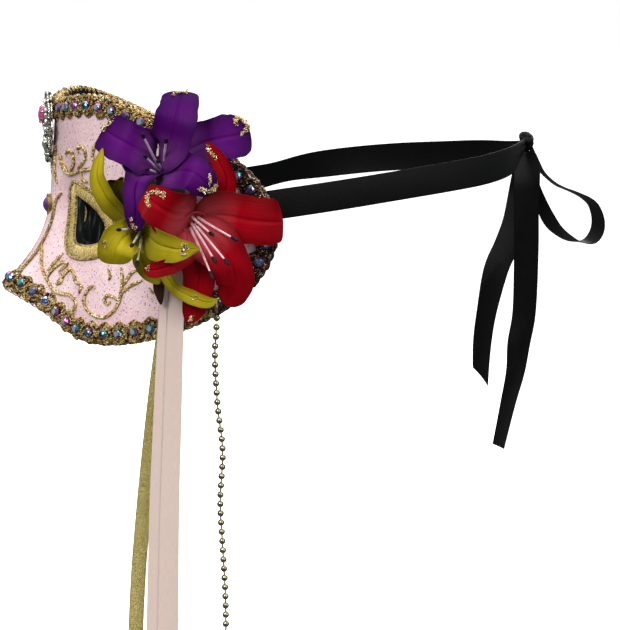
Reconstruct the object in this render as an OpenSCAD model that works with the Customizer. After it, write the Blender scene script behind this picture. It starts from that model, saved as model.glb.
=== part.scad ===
// Venetian half mask with silk lilies, gimp braid, ribbon streamers and satin ties.
// The mask faces -Y, the wearer's left is +X and up is +Z. The origin is the point on
// the lining that rests on the bridge of the wearer's nose.

/* [Mask] */
// Half width of the head that the mask is shaped to
head_half_w = 76; // [70:1:82]
// Distance from the middle of the head to the bridge of the nose
head_front = 95; // [88:1:102]
// Distance from the middle of the head to the back of the head
head_back = 102; // [95:1:110]
// Angle round the head at which each rear edge of the mask ends
side_angle = 79; // [72:1:84]
// How far the nose tip stands out from the forehead
nose_out = 20; // [12:1:26]
// Depth of the hollows round the eyes
socket_depth = 7; // [3:0.5:9]
// Thickness of the moulded shell
shell_t = 2; // [1.2:0.1:3]
// Thickness of the felt lining
lining_t = 0.8; // [0.5:0.1:1.5]

/* [Trim] */
// Width of the gimp braid round the edge
braid_w = 9; // [7:0.5:11]
// Height of the gimp braid above the shell
braid_h = 2.2; // [1.5:0.1:3]
// Spacing of the stones along the braid
stone_pitch = 7.3; // [6:0.1:9]
// Diameter of one stone
stone_d = 3.8; // [2.8:0.1:4.2]
// Width of the gold band round each eye hole
band_w = 5; // [3.5:0.5:6]
// Diameter of the twisted cord round the bands and along the nose
piping_d = 1.4; // [1:0.1:2]
// Diameter of the raised gold scrolls
scroll_d = 1.3; // [0.9:0.1:1.8]

/* [Ornaments] */
// Height of the silver brooch on the forehead
brooch_h = 32; // [26:1:34]
// Width of the silver brooch
brooch_w = 24; // [20:1:28]
// Diameter of the gem on the bridge of the nose
bridge_gem_d = 7.5; // [6:0.5:9]

/* [Flowers] */
// Thickness of one silk petal
petal_t = 0.6; // [0.4:0.1:1]
// Diameter of the felt pad that the flowers are glued to
pad_d = 26; // [20:1:30]

/* [Ribbons] */
// Width of the black satin ties
satin_w = 12; // [10:0.5:14]
// Thickness of every ribbon solid
ribbon_t = 0.5; // [0.4:0.1:0.8]
// Diameter of the balls of the chain
ball_d = 2.4; // [2:0.1:3]

/* [Hidden] */

// Heights at which the nose begins to rise and reaches its tip
nose_top_z = 4;
nose_tip_z = -39;
// Spread in degrees of the nose, of the bridge and of the eye hollows
nose_spread = 9;
bridge_spread = 6;
hollow_spread = 50;
// Middle height and vertical spread of the eye hollows
hollow_z = -5;
hollow_tall = 22;
// Lean of the forehead backwards, in millimetres for each millimetre of height
lean = 0.07;
// Radial distance from the lining's inner face to the outside of the shell
skin_t = shell_t + lining_t;
// Clearance left between soft pieces
gap = 0.3;
// Millimetres along the mask for one degree round the head
arc_mm = 1.55;
// Gap between the lining and the shell that the glue fills
glue_t = 0.02;
// Depth that glued trim sinks into what carries it
sink = 0.25;
// Distance from the mask's edge to the middle of the braid
braid_inset = 3.6;
// Angle round the mask's edge at which the top and bottom braids meet the side braids
braid_corner = 52;
// Columns and rows of the grids of the shell and the lining
mask_cols = 40;
mask_rows = 14;
// Height of a stone and how far it sinks into the braid
stone_h = 1.4;
stone_seat = 0.4;
// Angle on each side of the forehead that the brooch hides from the top stones
brooch_side = 7;
// Number of points between two control points of a smooth line
smooth = 3;

// Outline of the wearer's left eye hole, as angle round the head and height
eye_outline = [[13.5, 3.6], [17, 2.2], [20.5, 0.2], [24, -3], [26.8, -7.5], [27, -11.5],
  [25, -14.6], [22, -15.8], [18.5, -16.2], [15, -15.3], [13, -11], [12.5, -5], [12.6, 0]];
// Gold line beside the ridge of the nose
nose_line = [[5.6, 4], [3.6, 0], [3.4, -9], [3.2, -18], [2.9, -23], [2.4, -27], [2, -31]];
// Gold scrolls of the forehead
forehead_lines = [
  [[3.6, 24], [3.4, 18], [3.2, 13], [4, 7.5]],
  [[10, 13], [7.5, 16.5], [7, 19.2], [5.6, 20]],
  [[11.5, 13], [14.3, 17], [14.6, 20.7], [12.2, 22], [10, 20]],
  [[16.3, 15], [20, 19], [20.5, 22.6], [19, 24.3], [17, 23], [17.7, 21.5]],
  [[6, 18.5], [8, 13.6], [11, 12.2], [17, 14.2], [22, 15.3], [24, 14.5]],
  [[24, 16.6], [23.5, 20.8], [24.3, 24.3], [26, 27.6]],
  [[17, 13.8], [18, 10.4], [20, 9.9]]];
// Gold scrolls of the cheek
cheek_lines = [
  [[3.5, -18], [5, -22], [7, -27], [10, -32], [12, -35], [14.6, -36.5], [18, -36.5],
    [21, -39], [20.5, -42], [18, -43.5]],
  [[8.7, -28], [9.6, -24.5], [11, -20.5]],
  [[9.5, -31], [10, -27.3], [12, -24.2], [14.4, -24.6], [12.2, -27.7]],
  [[12.2, -27.7], [14.2, -31], [12.8, -32.6], [15.9, -26.5], [18.5, -28.3],
    [19.7, -31], [22, -32], [21.8, -35.6]],
  [[27.2, -32.8], [26.5, -31.8], [24.8, -33.8], [24, -37.4], [25, -40.8], [27.5, -43.3],
    [31, -44], [33.6, -42], [35.5, -37.5], [36, -32.6], [35.7, -27.8], [34.8, -23.7]],
  [[35.5, -37.5], [34.3, -36], [32, -35], [31, -37], [32, -38.6], [33, -37.4]],
  [[36, -34], [38, -31], [42, -28]],
  [[36.5, -30.5], [38, -26], [40, -24]],
  [[44, -31], [45.3, -32.6], [46.5, -31.5]],
  [[30.6, -24.4], [31.8, -27.4], [31.4, -29]]];

// Each flower: its throat and the way it faces
purple_throat = [77, 34, 17.5];
purple_axis = [0.75, -0.35, 0.55];
red_throat = [83, 46, -2.5];
red_axis = [0.9, 0.25, -0.35];
green_throat = [82.5, 25, -6];
green_axis = [0.85, -0.35, -0.4];
// The way that the petals face at their tips
tip_facing = [0.98, -0.15, 0.08];
// Each petal from throat to tip, as place, width, roll in degrees and curl in degrees
purple_outer = [
  [[78, 34, 19, 5, 0, 40], [88, 36, 27, 11.5, 0, 30], [92, 38, 37, 16.5, 0, 25],
    [90, 40, 44, 15.5, 0, 15], [86, 41, 49, 13.5, 0, 10]],
  [[78, 34, 16, 5, 0, 40], [90, 38, 18, 11, 0, 40], [97, 44, 18, 15, -10, -50],
    [97, 49, 14, 13, -15, -50], [93, 53, 10, 8, -15, -30]],
  [[77, 32, 17, 5, 0, 40], [84, 27, 20, 8, 0, 50], [86, 22, 20, 9, 0, 50],
    [85, 19, 18, 6, 0, 30]]];
purple_inner = [
  [[78, 32, 19, 5, 0, 40], [86, 26, 25, 12.5, 0, 35], [88, 19, 29, 17, 0, 25],
    [84, 14, 32, 17, 0, 20], [80, 11, 34, 13.5, 0, 10]],
  [[77, 36, 19, 5, 0, 40], [80, 48, 27, 12, 0, 20], [82, 57, 30, 17.5, 0, 15],
    [80, 64, 31, 18, 0, 10], [76, 70, 32, 11, 0, 1]],
  [[77, 31, 16, 5, 0, 40], [88, 25, 16, 9, 0, 60], [92, 22, 11, 9, 0, 40],
    [94, 22, 3, 9, 0, 30], [94, 22, -5, 6, 0, 20]]];
red_outer = [
  [[84, 45, 0, 6, 0, 40], [93, 38, 1, 14, 0, 40], [98, 32, 4, 16.5, 0, 30],
    [98, 28, 7, 14, 0, 25], [95, 25, 9, 10, 0, 20]],
  [[83, 48, -1, 6, 0, 40], [87, 57, 0, 13, 0, 20], [88, 68, -2, 18.5, 0, -10],
    [86, 77, -3, 18.5, 0, -10], [83, 82, -3, 16, 0, -10]],
  [[82, 45, -5, 5, 0, 40], [86, 47, -14, 11, 0, 30], [86, 48, -24, 12.5, 0, 20],
    [84, 47, -34, 11, 0, 15], [82, 44, -43, 5, 0, 10]]];
red_inner = [
  [[82, 48, 0, 5, 0, 40], [84, 56, 5, 8, 0, 60], [87, 59, 13, 7.5, 0, 60],
    [88, 56, 21, 7, 0, 60], [88, 51, 29, 3, 0, 30]],
  [[84, 47, -4, 6, 0, 40], [90, 54, -11, 12, 0, 30], [91, 60, -19, 15.5, 0, 20],
    [88, 62, -28, 14.5, 0, 15], [84, 59, -36, 8, 0, 10]],
  [[83, 44, -5, 5, 0, 40], [88, 43, -13, 7, 0, 60], [93, 37, -18, 7.5, 0, 60],
    [97, 30, -20, 6.5, 0, 50], [97, 25, -20, 4.5, 0, 40]]];
green_outer = [
  [[81, 24.5, -5, 6, 0, 60], [88, 20.6, -6, 12, 0, 80], [94, 16.3, -9, 16, 0, 80],
    [95, 14, -13, 15, 0, 70], [92, 14, -18, 9, 0, 50]],
  [[81, 22, -4, 6, 0, 90], [82, 19, 2, 11, 0, 180], [83, 17, 9, 14, 0, 220],
    [81, 16, 14, 13, 0, 220]],
  [[82, 28, -8, 4, 0, 40], [82, 33, -19, 4.5, 0, 40], [86, 38, -28, 5.5, 0, 50],
    [90, 45, -32, 6, 0, 50], [90, 51, -34, 4.5, 0, 40], [89, 55, -33, 1.6, 0, 30]]];
green_inner = [
  [[81, 23, -4, 5, 0, 60], [86, 15.5, 3, 9, 0, 100], [90, 10.5, 9, 9, 0, 120],
    [90, 7.5, 17, 6.5, 0, 100], [87, 10, 27, 1.6, 0, 60]],
  [[85, 27, -6, 7, 0, 50], [94, 30, -10, 13.5, 0, 50], [98, 37, -12, 10.5, 0, 40],
    [98, 43, -12, 5.5, 0, 30], [96, 47, -12, 1.6, 0, 20]],
  [[82, 26, -9, 5, 0, 40], [85, 25, -15, 7, 0, 50], [84, 28, -22, 7, 0, 50],
    [82, 33, -27, 2.5, 0, 30]]];
leaf_route = [[80, 29, -10, 2.5, 0, 30], [79, 31, -17, 3, 0, 30], [78, 33, -24, 3.5, 0, 30],
  [78, 33, -29, 4.5, 0, 30], [77, 34, -36, 1.6, 0, 10]];
// Shares of a petal's route at which it has a row of points
petal_steps = [0, 0.12, 0.25, 0.38, 0.5, 0.62, 0.74, 0.85, 0.93, 0.98, 1];
// Columns across a petal, share of the route at which its tip begins, and the least
// width and curl
petal_cols = 6;
tip_begins = 0.88;
least_w = 1.6;
least_curl = 2;
// Tips of the stamens of each flower
purple_tips = [[96, 25, 32], [95, 34, 30], [95, 26, 24], [94, 31, 22], [93, 27, 19]];
red_tips = [[99, 60, -8], [99, 51, -6], [99, 57, -17], [99, 51, -22], [100, 52, -16]];
green_tips = [[99, 15, -4], [99, 22, -17], [99, 20, -10]];
// Sizes of a filament and its anther, and spread of the filaments' feet as a share of the
// spread of their tips
filament_d = 0.8;
anther_d = 1.8;
anther_h = 3.2;
foot_spread = 0.3;
// Height of the felt pad, and how far above the shell its base is
pad_h = 4;
pad_base = 0.6;
// Middle of the felt pad, as angle round the head and height
pad_at = [47, 2];

// Routes of the hanging ribbons from the top down: place, turn of the width away from
// the side view in degrees, and width
pink_route = [[74.2, 41, -14, 24, 8], [74.2, 40.5, -25, 27, 11], [74.2, 40, -36, 28, 13],
  [74.2, 39, -55, 27, 13], [74.2, 37.5, -85, 23, 13], [74.2, 36, -115, 19, 13],
  [74.2, 35, -150, 15, 13], [74.2, 34, -185, 12, 13], [74.2, 34.5, -220, 12, 13],
  [74.2, 36, -256, 12, 13]];
gold_route = [[69.3, 39, -16, 18, 5], [69.3, 38, -30, 18, 6], [69.3, 36, -48, 18, 6],
  [69.3, 33, -70, 16, 6], [69.3, 29.5, -100, 12, 6], [69.3, 27, -125, 10, 6],
  [69.3, 25, -150, 8, 6], [69.3, 23.5, -185, 8, 6], [69.3, 23.5, -215, 8, 6],
  [69.3, 25, -248, 8, 6]];
long_route = [[2.3, 199.2, 17.3, 40, 8], [4, 199.2, 13.5, 38, 11], [7, 198.6, 6, 40, 12],
  [7, 198.3, -4, 42, 12], [7, 198.4, -23, 44, 12], [7, 197.7, -49, 50, 12],
  [7, 195.4, -63, 52, 12], [7, 194, -75, 63, 12], [7, 191, -88, 71, 12],
  [7, 186.8, -107, 77, 12]];
short_route = [[-3, 199.7, 17.2, 68, 5], [-4.2, 199.6, 14.8, 65, 7], [-7, 199.8, 9, 52, 10],
  [-8.8, 199.6, 1, 44, 12], [-8.8, 197.2, -12, 40, 12], [-8.8, 193.6, -22, 40, 12],
  [-8.8, 188.8, -33, 43, 12], [-8.8, 185, -50, 59, 12], [-8.8, 183, -64, 63, 12],
  [-8.8, 182.3, -79, 69, 12]];
loop_route = [[0.3, 201.3, 20.5, 82, 5], [0.2, 203.6, 15.5, 84, 6], [1.8, 206, 10, 88, 9],
  [3.2, 209.6, 6, 90, 12], [3.2, 213.7, 3.3, 92, 12], [3.2, 218, 1.6, 92, 12],
  [3.2, 221.7, 0, 88, 12], [3.2, 225.4, -2, 82, 12], [3.2, 228.5, -5, 79, 12],
  [3.2, 230.5, -11, 77, 12], [3.2, 229.8, -16.6, 77, 12], [3.2, 226.2, -20.3, 79, 12],
  [3.2, 219.7, -19.8, 80, 12], [3.2, 212.4, -15, 79, 12], [3.2, 208, -8.7, 80, 12],
  [3.2, 205, -1, 84, 10], [2.5, 203.8, 4, 84, 7.5], [1.3, 202.8, 10, 84, 5.5],
  [0.3, 201.5, 18, 84, 5]];
// Route of the ball chain from its ring down
chain_route = [[79, 56, -41.5], [80.3, 55.6, -47], [80.5, 55, -57], [80.5, 56, -76],
  [80.5, 58, -95], [80.5, 57, -115], [80.5, 58, -135], [80.5, 59, -155], [80.5, 59, -180],
  [80.5, 58, -210], [80.5, 58, -255]];
// Middle of the ring that carries the chain
ring_at = [77.9, 56, -37.2];
// Middle lines of the two ties, from under the mask to the knot, as angle round the head
// and height
left_tie = [[69, 1], [82, 3.5], [96, 6], [118, 9.8], [134, 12.2], [146, 13.8], [155, 15.3],
  [163, 16.8], [171, 18.8], [178, 21]];
right_tie = [[69, -3], [92, 3.3], [105, 7.2], [121, 10.3], [136, 12.5], [152, 14.2],
  [166, 16.3], [178, 19.5]];
// Greatest lean of the right tie's upper edge towards the head, the angle at which it has
// it and the spread round that angle
right_lean = 34;
right_lean_at = 98;
right_lean_spread = 13;

function bell(v, w) = exp(-pow(v / w, 2));
function unit(v) = v / norm(v);
function mix(a, b, t) = a + (b - a) * t;

// Radius of the head at an angle from straight ahead
function head_r(a) =
  let (depth = cos(a) >= 0 ? head_front : head_back)
  1 / sqrt(pow(sin(a) / head_half_w, 2) + pow(cos(a) / depth, 2));
function nose_rise(z) =
  nose_out * pow(max(0, (nose_top_z - z) / (nose_top_z - nose_tip_z)), 2.1);
function hollow(a, z) =
  socket_depth * bell(z - hollow_z, hollow_tall) * (1 - bell(a, bridge_spread))
  * bell(a, hollow_spread);
function face_r(a, z) = head_r(a) + nose_rise(z) * bell(a, nose_spread) - hollow(a, z);

// Point at an angle and a height, a radial distance out from the lining's inner face
function face(a, z, out) =
  let (r = face_r(a, z) + out)
  [r * sin(a), head_front - r * cos(a) + lean * z * cos(a), z];
function face_normal(a, z) =
  unit(cross(face(a + 0.5, z, 0) - face(a - 0.5, z, 0),
    face(a, z + 0.5, 0) - face(a, z - 0.5, 0)));
// Point a distance above the outside of the shell
function on_shell(a, z, h) = face(a, z, skin_t) + h * face_normal(a, z);

// The mask's outline is an ellipse in angle and height, bent to dip under the nose
function outline_mid(a) = -8 + 5 * bell(a, 12) + 6 * bell(a, 32);
function outline_half(a) = 53.5 - 14.5 * bell(a, 17);
function outline_at(u, v) =
  let (a = side_angle * u) [a, outline_mid(a) + outline_half(a) * v];
// Point of the outline, with 0 at the top of the forehead and 90 at the left rear edge
function edge(turn) = outline_at(sin(turn), cos(turn));
// The same point moved a distance in from the edge
function edge_in(turn, inset) =
  let (p = edge(turn), q = edge(turn + 1), t = unit([(q[0] - p[0]) * arc_mm, q[1] - p[1]]))
  [p[0] + t[1] * inset / arc_mm, p[1] - t[0] * inset];

// A smooth line through control points, open or closed
function bend(a, b, c, d, t) = 0.5 * (2 * b + (c - a) * t
  + (2 * a - 5 * b + 4 * c - d) * t * t + (3 * b - a - 3 * c + d) * t * t * t);
// Point of a smooth line at a share of its length between control points
function at_share(p, q) =
  let (u = q * (len(p) - 1), i = min(floor(u), len(p) - 2))
  bend(p[max(i - 1, 0)], p[i], p[i + 1], p[min(i + 2, len(p) - 1)], u - i);
function smooth_line(p, k) = [
  for (i = [0:len(p) - 2]) for (j = [0:k - 1])
    bend(p[max(i - 1, 0)], p[i], p[i + 1], p[min(i + 2, len(p) - 1)], j / k),
  p[len(p) - 1]];
function smooth_ring(p, k) = let (n = len(p)) [
  for (i = [0:n - 1]) for (j = [0:k - 1])
    bend(p[(i + n - 1) % n], p[i], p[(i + 1) % n], p[(i + 2) % n], j / k)];
// A closed outline moved outwards by a distance along the surface
function grow_ring(p, d) = let (n = len(p)) [
  for (i = [0:n - 1])
    let (s = p[(i + 1) % n] - p[(i + n - 1) % n], t = unit([s[0] * arc_mm, s[1]]))
    [p[i][0] - t[1] * d / arc_mm, p[i][1] + t[0] * d]];

// Solid through a list of equal rings of points, capped or closed on itself
module loft(rings, closed = false) {
  m = len(rings);
  n = len(rings[0]);
  last = closed ? m - 1 : m - 2;
  sides = [for (j = [0:last]) for (i = [0:n - 1])
    let (a = j * n + i, b = j * n + (i + 1) % n, c = ((j + 1) % m) * n + (i + 1) % n,
      d = ((j + 1) % m) * n + i)
    each [[a, c, b], [a, d, c]]];
  caps = closed ? [] : [for (i = [1:n - 2]) each [[0, i, i + 1],
    [(m - 1) * n, (m - 1) * n + i + 1, (m - 1) * n + i]]];
  polyhedron([for (r = rings) each r], concat(sides, caps));
}

// Solid between two equal grids of points, the first one being its outer face
module skin(outer, inner) {
  m = len(outer);
  n = len(outer[0]);
  o = m * n;
  function at(i, j) = i * n + j;
  cells = [for (i = [0:m - 2]) for (j = [0:n - 2])
    let (a = at(i, j), b = at(i, j + 1), c = at(i + 1, j + 1), d = at(i + 1, j))
    each [[a, c, b], [a, d, c], [o + a, o + b, o + c], [o + a, o + c, o + d]]];
  ends = [for (j = [0:n - 2])
    let (a = at(0, j), b = at(0, j + 1), c = at(m - 1, j), d = at(m - 1, j + 1))
    each [[a, b, o + a], [b, o + b, o + a], [d, c, o + d], [c, o + c, o + d]]];
  edges = [for (i = [0:m - 2])
    let (a = at(i, 0), b = at(i + 1, 0), c = at(i, n - 1), d = at(i + 1, n - 1))
    each [[b, a, o + b], [a, o + a, o + b], [c, d, o + c], [d, o + d, o + c]]];
  polyhedron([for (r = concat(outer, inner)) each r], concat(cells, ends, edges));
}

// Round cord along points, with its flat side turned to a reference direction at each
module cord(points, refs, d, sides, closed = false) {
  n = len(points);
  loft([for (i = [0:n - 1])
    let (q = closed ? points[(i + n - 1) % n] : points[max(i - 1, 0)],
      r = closed ? points[(i + 1) % n] : points[min(i + 1, n - 1)],
      t = unit(r - q), b = unit(cross(refs[i], t)), c = cross(t, b))
    [for (k = [0:sides - 1]) points[i]
      + d / 2 * (b * cos(360 * k / sides) + c * sin(360 * k / sides))]], closed);
}

// Cord laid on the shell along a line given as angles and heights
module shell_cord(line, d, sides, closed = false) {
  cord([for (p = line) on_shell(p[0], p[1], d / 2 - sink)],
    [for (p = line) face_normal(p[0], p[1])], d, sides, closed);
}

// Flat ribbon along a route whose points also hold its turn and its width
module hanging_ribbon(route) {
  line = smooth_line(route, smooth);
  n = len(line) - 1;
  function place(k) = [line[k][0], line[k][1], line[k][2]];
  loft([for (i = [0:n])
    let (t = unit(place(min(i + 1, n)) - place(max(i - 1, 0))), turn = line[i][3],
      side = [sin(turn), cos(turn), 0], b = unit(side - t * (side * t)),
      across = b * line[i][4] / 2, deep = cross(t, b) * ribbon_t / 2)
    [place(i) - across - deep, place(i) + across - deep,
      place(i) + across + deep, place(i) - across + deep]]);
}

function mask_grid(out) = [
  for (i = [0:mask_rows]) [for (j = [0:mask_cols])
    let (s = 2 * j / mask_cols - 1, t = 2 * i / mask_rows - 1,
      p = outline_at(s * sqrt(1 - t * t / 2), t * sqrt(1 - s * s / 2)))
    face(p[0], p[1], out)]];

// Block through one eye hole, following the hole's outline through the wall
module eye_cutter(side, grow) {
  ring = grow_ring(smooth_ring(eye_outline, smooth), grow);
  reach = 6;
  loft([for (out = [skin_t + reach, -reach])
    [for (k = [0:len(ring) - 1])
      let (p = ring[side > 0 ? k : len(ring) - 1 - k]) face(side * p[0], p[1], out)]]);
}

module mask_shell() {
  color("pink") difference() {
    skin(mask_grid(skin_t), mask_grid(lining_t));
    eye_cutter(1, 0);
    eye_cutter(-1, 0);
  }
}

module lining() {
  color("black") difference() {
    skin(mask_grid(lining_t - glue_t), mask_grid(0));
    eye_cutter(1, 0);
    eye_cutter(-1, 0);
  }
}

// Domed band round an eye hole
module eye_band(side) {
  ring = smooth_ring(eye_outline, smooth);
  profile = [[0, -sink], [band_w, -sink], [band_w, 0.5], [band_w / 2, 1], [0, 0.6]];
  rings = [for (q = profile) grow_ring(ring, q[0])];
  color("khaki") loft([for (k = [0:len(ring) - 1])
    let (i = side > 0 ? k : len(ring) - 1 - k)
    [for (m = [0:len(profile) - 1])
      on_shell(side * rings[m][i][0], rings[m][i][1], profile[m][1])]], true);
}

module eye_piping(side) {
  ring = grow_ring(smooth_ring(eye_outline, smooth), band_w + piping_d / 2);
  line = [for (k = [0:len(ring) - 1]) [side * ring[k][0], ring[k][1]]];
  color("goldenrod") shell_cord(line, piping_d, 5, true);
}

module nose_piping() {
  line = smooth_line(nose_line, smooth);
  color("goldenrod") for (side = [-1, 1])
    shell_cord([for (p = line) [side * p[0], p[1]]], piping_d, 5);
}

module scrolls(lines, side) {
  color("gold") for (s = lines)
    shell_cord([for (p = smooth_line(s, 2)) [side * p[0], p[1]]], scroll_d, 4);
}

// Length along the braid's middle line from the forehead to each turn of the edge
function braid_point(turn) =
  let (p = edge_in(turn, braid_inset)) face(p[0], p[1], skin_t);
first_turn = -60;
turn_step = 2;
braid_steps = [for (k = [first_turn:turn_step:320]) braid_point(k)];
braid_table = [for (i = 0, s = 0; i < len(braid_steps);
  s = s + (i < len(braid_steps) - 1 ? norm(braid_steps[i + 1] - braid_steps[i]) : 0),
  i = i + 1) [s, first_turn + turn_step * i]];
turn_table = [for (row = braid_table) [row[1], row[0]]];
function braid_turn(s) = lookup(s, braid_table);
function braid_s(turn) = lookup(turn, turn_table);

// Point across the braid, a distance from its middle line and above the shell
function braid_at(turn, across, h) =
  let (p = edge_in(turn, braid_inset), out = edge_in(turn, braid_inset - 1),
    side = unit(face(out[0], out[1], skin_t) - face(p[0], p[1], skin_t)),
    n = face_normal(p[0], p[1]))
  face(p[0], p[1], skin_t) + side * across + n * h;

module braid(from, to) {
  count = ceil((braid_s(to) - braid_s(from)) / 5);
  half = braid_w / 2;
  profile = [[-half, -sink], [half, -sink], [half, braid_h * 0.4], [half * 0.5, braid_h],
    [-half * 0.5, braid_h], [-half, braid_h * 0.4]];
  color("darkgoldenrod") loft([for (k = [0:count])
    let (turn = braid_turn(mix(braid_s(from) + gap, braid_s(to) - gap, k / count)))
    [for (q = profile) braid_at(turn, q[0], q[1])]]);
}

// Faceted stones along one stretch of the braid, none nearer the middle than keep_out
module stones(from, to, keep_out = 0) {
  length = braid_s(to) - braid_s(from);
  count = floor(length / stone_pitch);
  color("teal") for (k = [0:count - 1])
    let (turn = braid_turn(braid_s(from) + (k + 0.5) * length / count),
      p = edge_in(turn, braid_inset), n = face_normal(p[0], p[1]))
      if (abs(p[0]) > keep_out) translate(braid_at(turn, 0, braid_h - stone_seat))
        rotate([0, acos(n[2]), atan2(n[1], n[0])])
          cylinder(h = stone_h, d1 = stone_d, d2 = stone_d * 0.6, $fn = 24);
}

// Pierced oval of loops round a stone, with pegs that carry it on the forehead
module brooch_filigree() {
  loops = 10;
  loop_d = 7;
  color("silver") translate([0, -3, 30.5]) rotate([90, 0, 0]) {
    linear_extrude(1.6) difference() {
      union() {
        for (k = [0:loops - 1])
          translate([(brooch_w - loop_d) / 2 * cos(360 * k / loops),
            (brooch_h - loop_d) / 2 * sin(360 * k / loops)])
            circle(d = loop_d, $fn = 32);
        circle(d = brooch_w - loop_d, $fn = 48);
        translate([0, 5]) circle(d = 14, $fn = 48);
        translate([0, -6]) circle(d = 11, $fn = 48);
      }
      for (k = [0:loops - 1])
        translate([(brooch_w - loop_d) / 2 * cos(360 * k / loops),
          (brooch_h - loop_d) / 2 * sin(360 * k / loops)])
          circle(d = loop_d - 3.2, $fn = 32);
    }
    translate([0, 5, 1.6]) cylinder(h = 0.8, d = 9.5, $fn = 48);
    for (y = [-9, 2])
      translate([0, y, -3]) cylinder(h = 3.2, d = 2, $fn = 24);
  }
}

module brooch_gem() {
  color("mediumvioletred") translate([0, -5.5, 35.5])
    resize([6.4, 3.4, 7.6]) sphere(d = 8, $fn = 24);
}

module brooch_crystals() {
  count = 8;
  color("white") translate([0, -4.6, 35.5]) rotate([90, 0, 0])
    for (k = [0:count - 1])
      rotate(360 * (k + 0.5) / count) translate([6.1, 0, 0])
        cylinder(h = 1, d1 = 2, d2 = 1.2, $fn = 24);
}

module bridge_bezel() {
  color("goldenrod") translate([0, 0.4 - skin_t, -1.6]) rotate([90, 0, 0])
    difference() {
      cylinder(h = 1.6, d = bridge_gem_d + 1.4, $fn = 48);
      translate([0, 0, 0.6]) cylinder(h = 2, d = bridge_gem_d - 0.6, $fn = 48);
    }
}

module bridge_gem() {
  color("indigo") translate([0, -0.3 - skin_t, -1.6]) rotate([90, 0, 0])
    intersection() {
      cylinder(h = 3, d = bridge_gem_d - 0.8, $fn = 48);
      translate([0, 0, -1.6]) sphere(d = bridge_gem_d + 1, $fn = 64);
    }
}

module flower_pad() {
  n = face_normal(pad_at[0], pad_at[1]);
  color("olive") translate(on_shell(pad_at[0], pad_at[1], pad_base))
    rotate([0, acos(n[2]), atan2(n[1], n[0])]) cylinder(h = pad_h, d = pad_d, $fn = 64);
}

// Tapered tube to a flower's throat from a foot on the pad, given as distances from the
// pad's middle towards the rear and up
module calyx(throat, rear, high) {
  n = face_normal(pad_at[0], pad_at[1]);
  top = on_shell(pad_at[0], pad_at[1], pad_base + pad_h - sink);
  foot = top + rear * unit(cross([0, 0, 1], n)) + [0, 0, high];
  run = throat - foot;
  color("olivedrab") translate(foot)
    rotate([0, acos(run[2] / norm(run)), atan2(run[1], run[0])])
      cylinder(h = norm(run) + 1.5, d1 = 4, d2 = 7, $fn = 32);
}

// One silk petal along its route, curled across its width and rounded at its tip
module petal(route, axis) {
  n = len(petal_steps) - 1;
  line = [for (q = petal_steps) at_share(route, q)];
  function place(i) = [line[i][0], line[i][1], line[i][2]];
  function round_off(q) = sqrt(1 - pow(max(0, q - tip_begins) / (1 - tip_begins), 2));
  function grid(off) = [for (i = [0:n])
    let (q = petal_steps[i], along = unit(place(min(i + 1, n)) - place(max(i - 1, 0))),
      facing = mix(unit(axis), tip_facing, q), flat = unit(cross(facing, along)),
      over = cross(along, flat), roll = line[i][4],
      b = flat * cos(roll) + over * sin(roll), c = over * cos(roll) - flat * sin(roll),
      curl = abs(line[i][5]) < least_curl ? least_curl : line[i][5],
      w = max(line[i][3] * round_off(q), least_w), r = w * 180 / PI / curl)
    [for (j = [0:petal_cols])
      let (g = curl * (j / petal_cols - 0.5))
      place(i) + b * (r - off) * sin(g) + c * (r - (r - off) * cos(g))]];
  skin(grid(-petal_t / 2), grid(petal_t / 2));
}

module petals(routes, axis) {
  for (route = routes) petal(route, axis);
}

// Thin filaments that part from each other at the throat, each with a long anther
module stamens(throat, tips) {
  middle = [for (tip = tips) 1] * tips / len(tips);
  for (tip = tips) {
    start = throat + (tip - middle) * foot_spread;
    run = tip - start;
    translate(start) rotate([0, acos(run[2] / norm(run)), atan2(run[1], run[0])]) {
      cylinder(h = norm(run), d = filament_d, $fn = 16);
      translate([0, 0, norm(run) - 1]) cylinder(h = anther_h, d = anther_d, $fn = 16);
    }
  }
}

module purple_calyx() {
  calyx(purple_throat, 0, 7);
}

module purple_petals_outer() {
  color("rebeccapurple") petals(purple_outer, purple_axis);
}

module purple_petals_inner() {
  color("indigo") petals(purple_inner, purple_axis);
}

module purple_stamens() {
  color("thistle") stamens(purple_throat, purple_tips);
}

module red_calyx() {
  calyx(red_throat, 9, -1);
}

module red_petals_outer() {
  color("firebrick") petals(red_outer, red_axis);
}

module red_petals_inner() {
  color("crimson") petals(red_inner, red_axis);
}

module red_stamens() {
  color("mistyrose") stamens(red_throat, red_tips);
}

module green_calyx() {
  calyx(green_throat, -4, -6);
}

module green_petals_outer() {
  color("yellowgreen") petals(green_outer, green_axis);
}

module green_petals_inner() {
  color("olive") petals(green_inner, green_axis);
}

module green_stamens() {
  color("beige") stamens(green_throat, green_tips);
}

module dark_leaf() {
  color("saddlebrown") petal(leaf_route, green_axis);
}

module pink_ribbon() {
  color("mistyrose") hanging_ribbon(pink_route);
}

module gold_ribbon() {
  color("gold") hanging_ribbon(gold_route);
}

// Split ring that carries the chain under the petals
module chain_ring() {
  color("goldenrod") translate(ring_at) rotate([90, 0, 0])
    rotate_extrude($fn = 48) translate([2.2, 0]) circle(d = 0.9, $fn = 24);
}

module ball_chain() {
  line = smooth_line(chain_route, smooth);
  color("darkkhaki") cord(line, [for (p = line) [1, 0, 0]], ball_d, 8);
}

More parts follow.
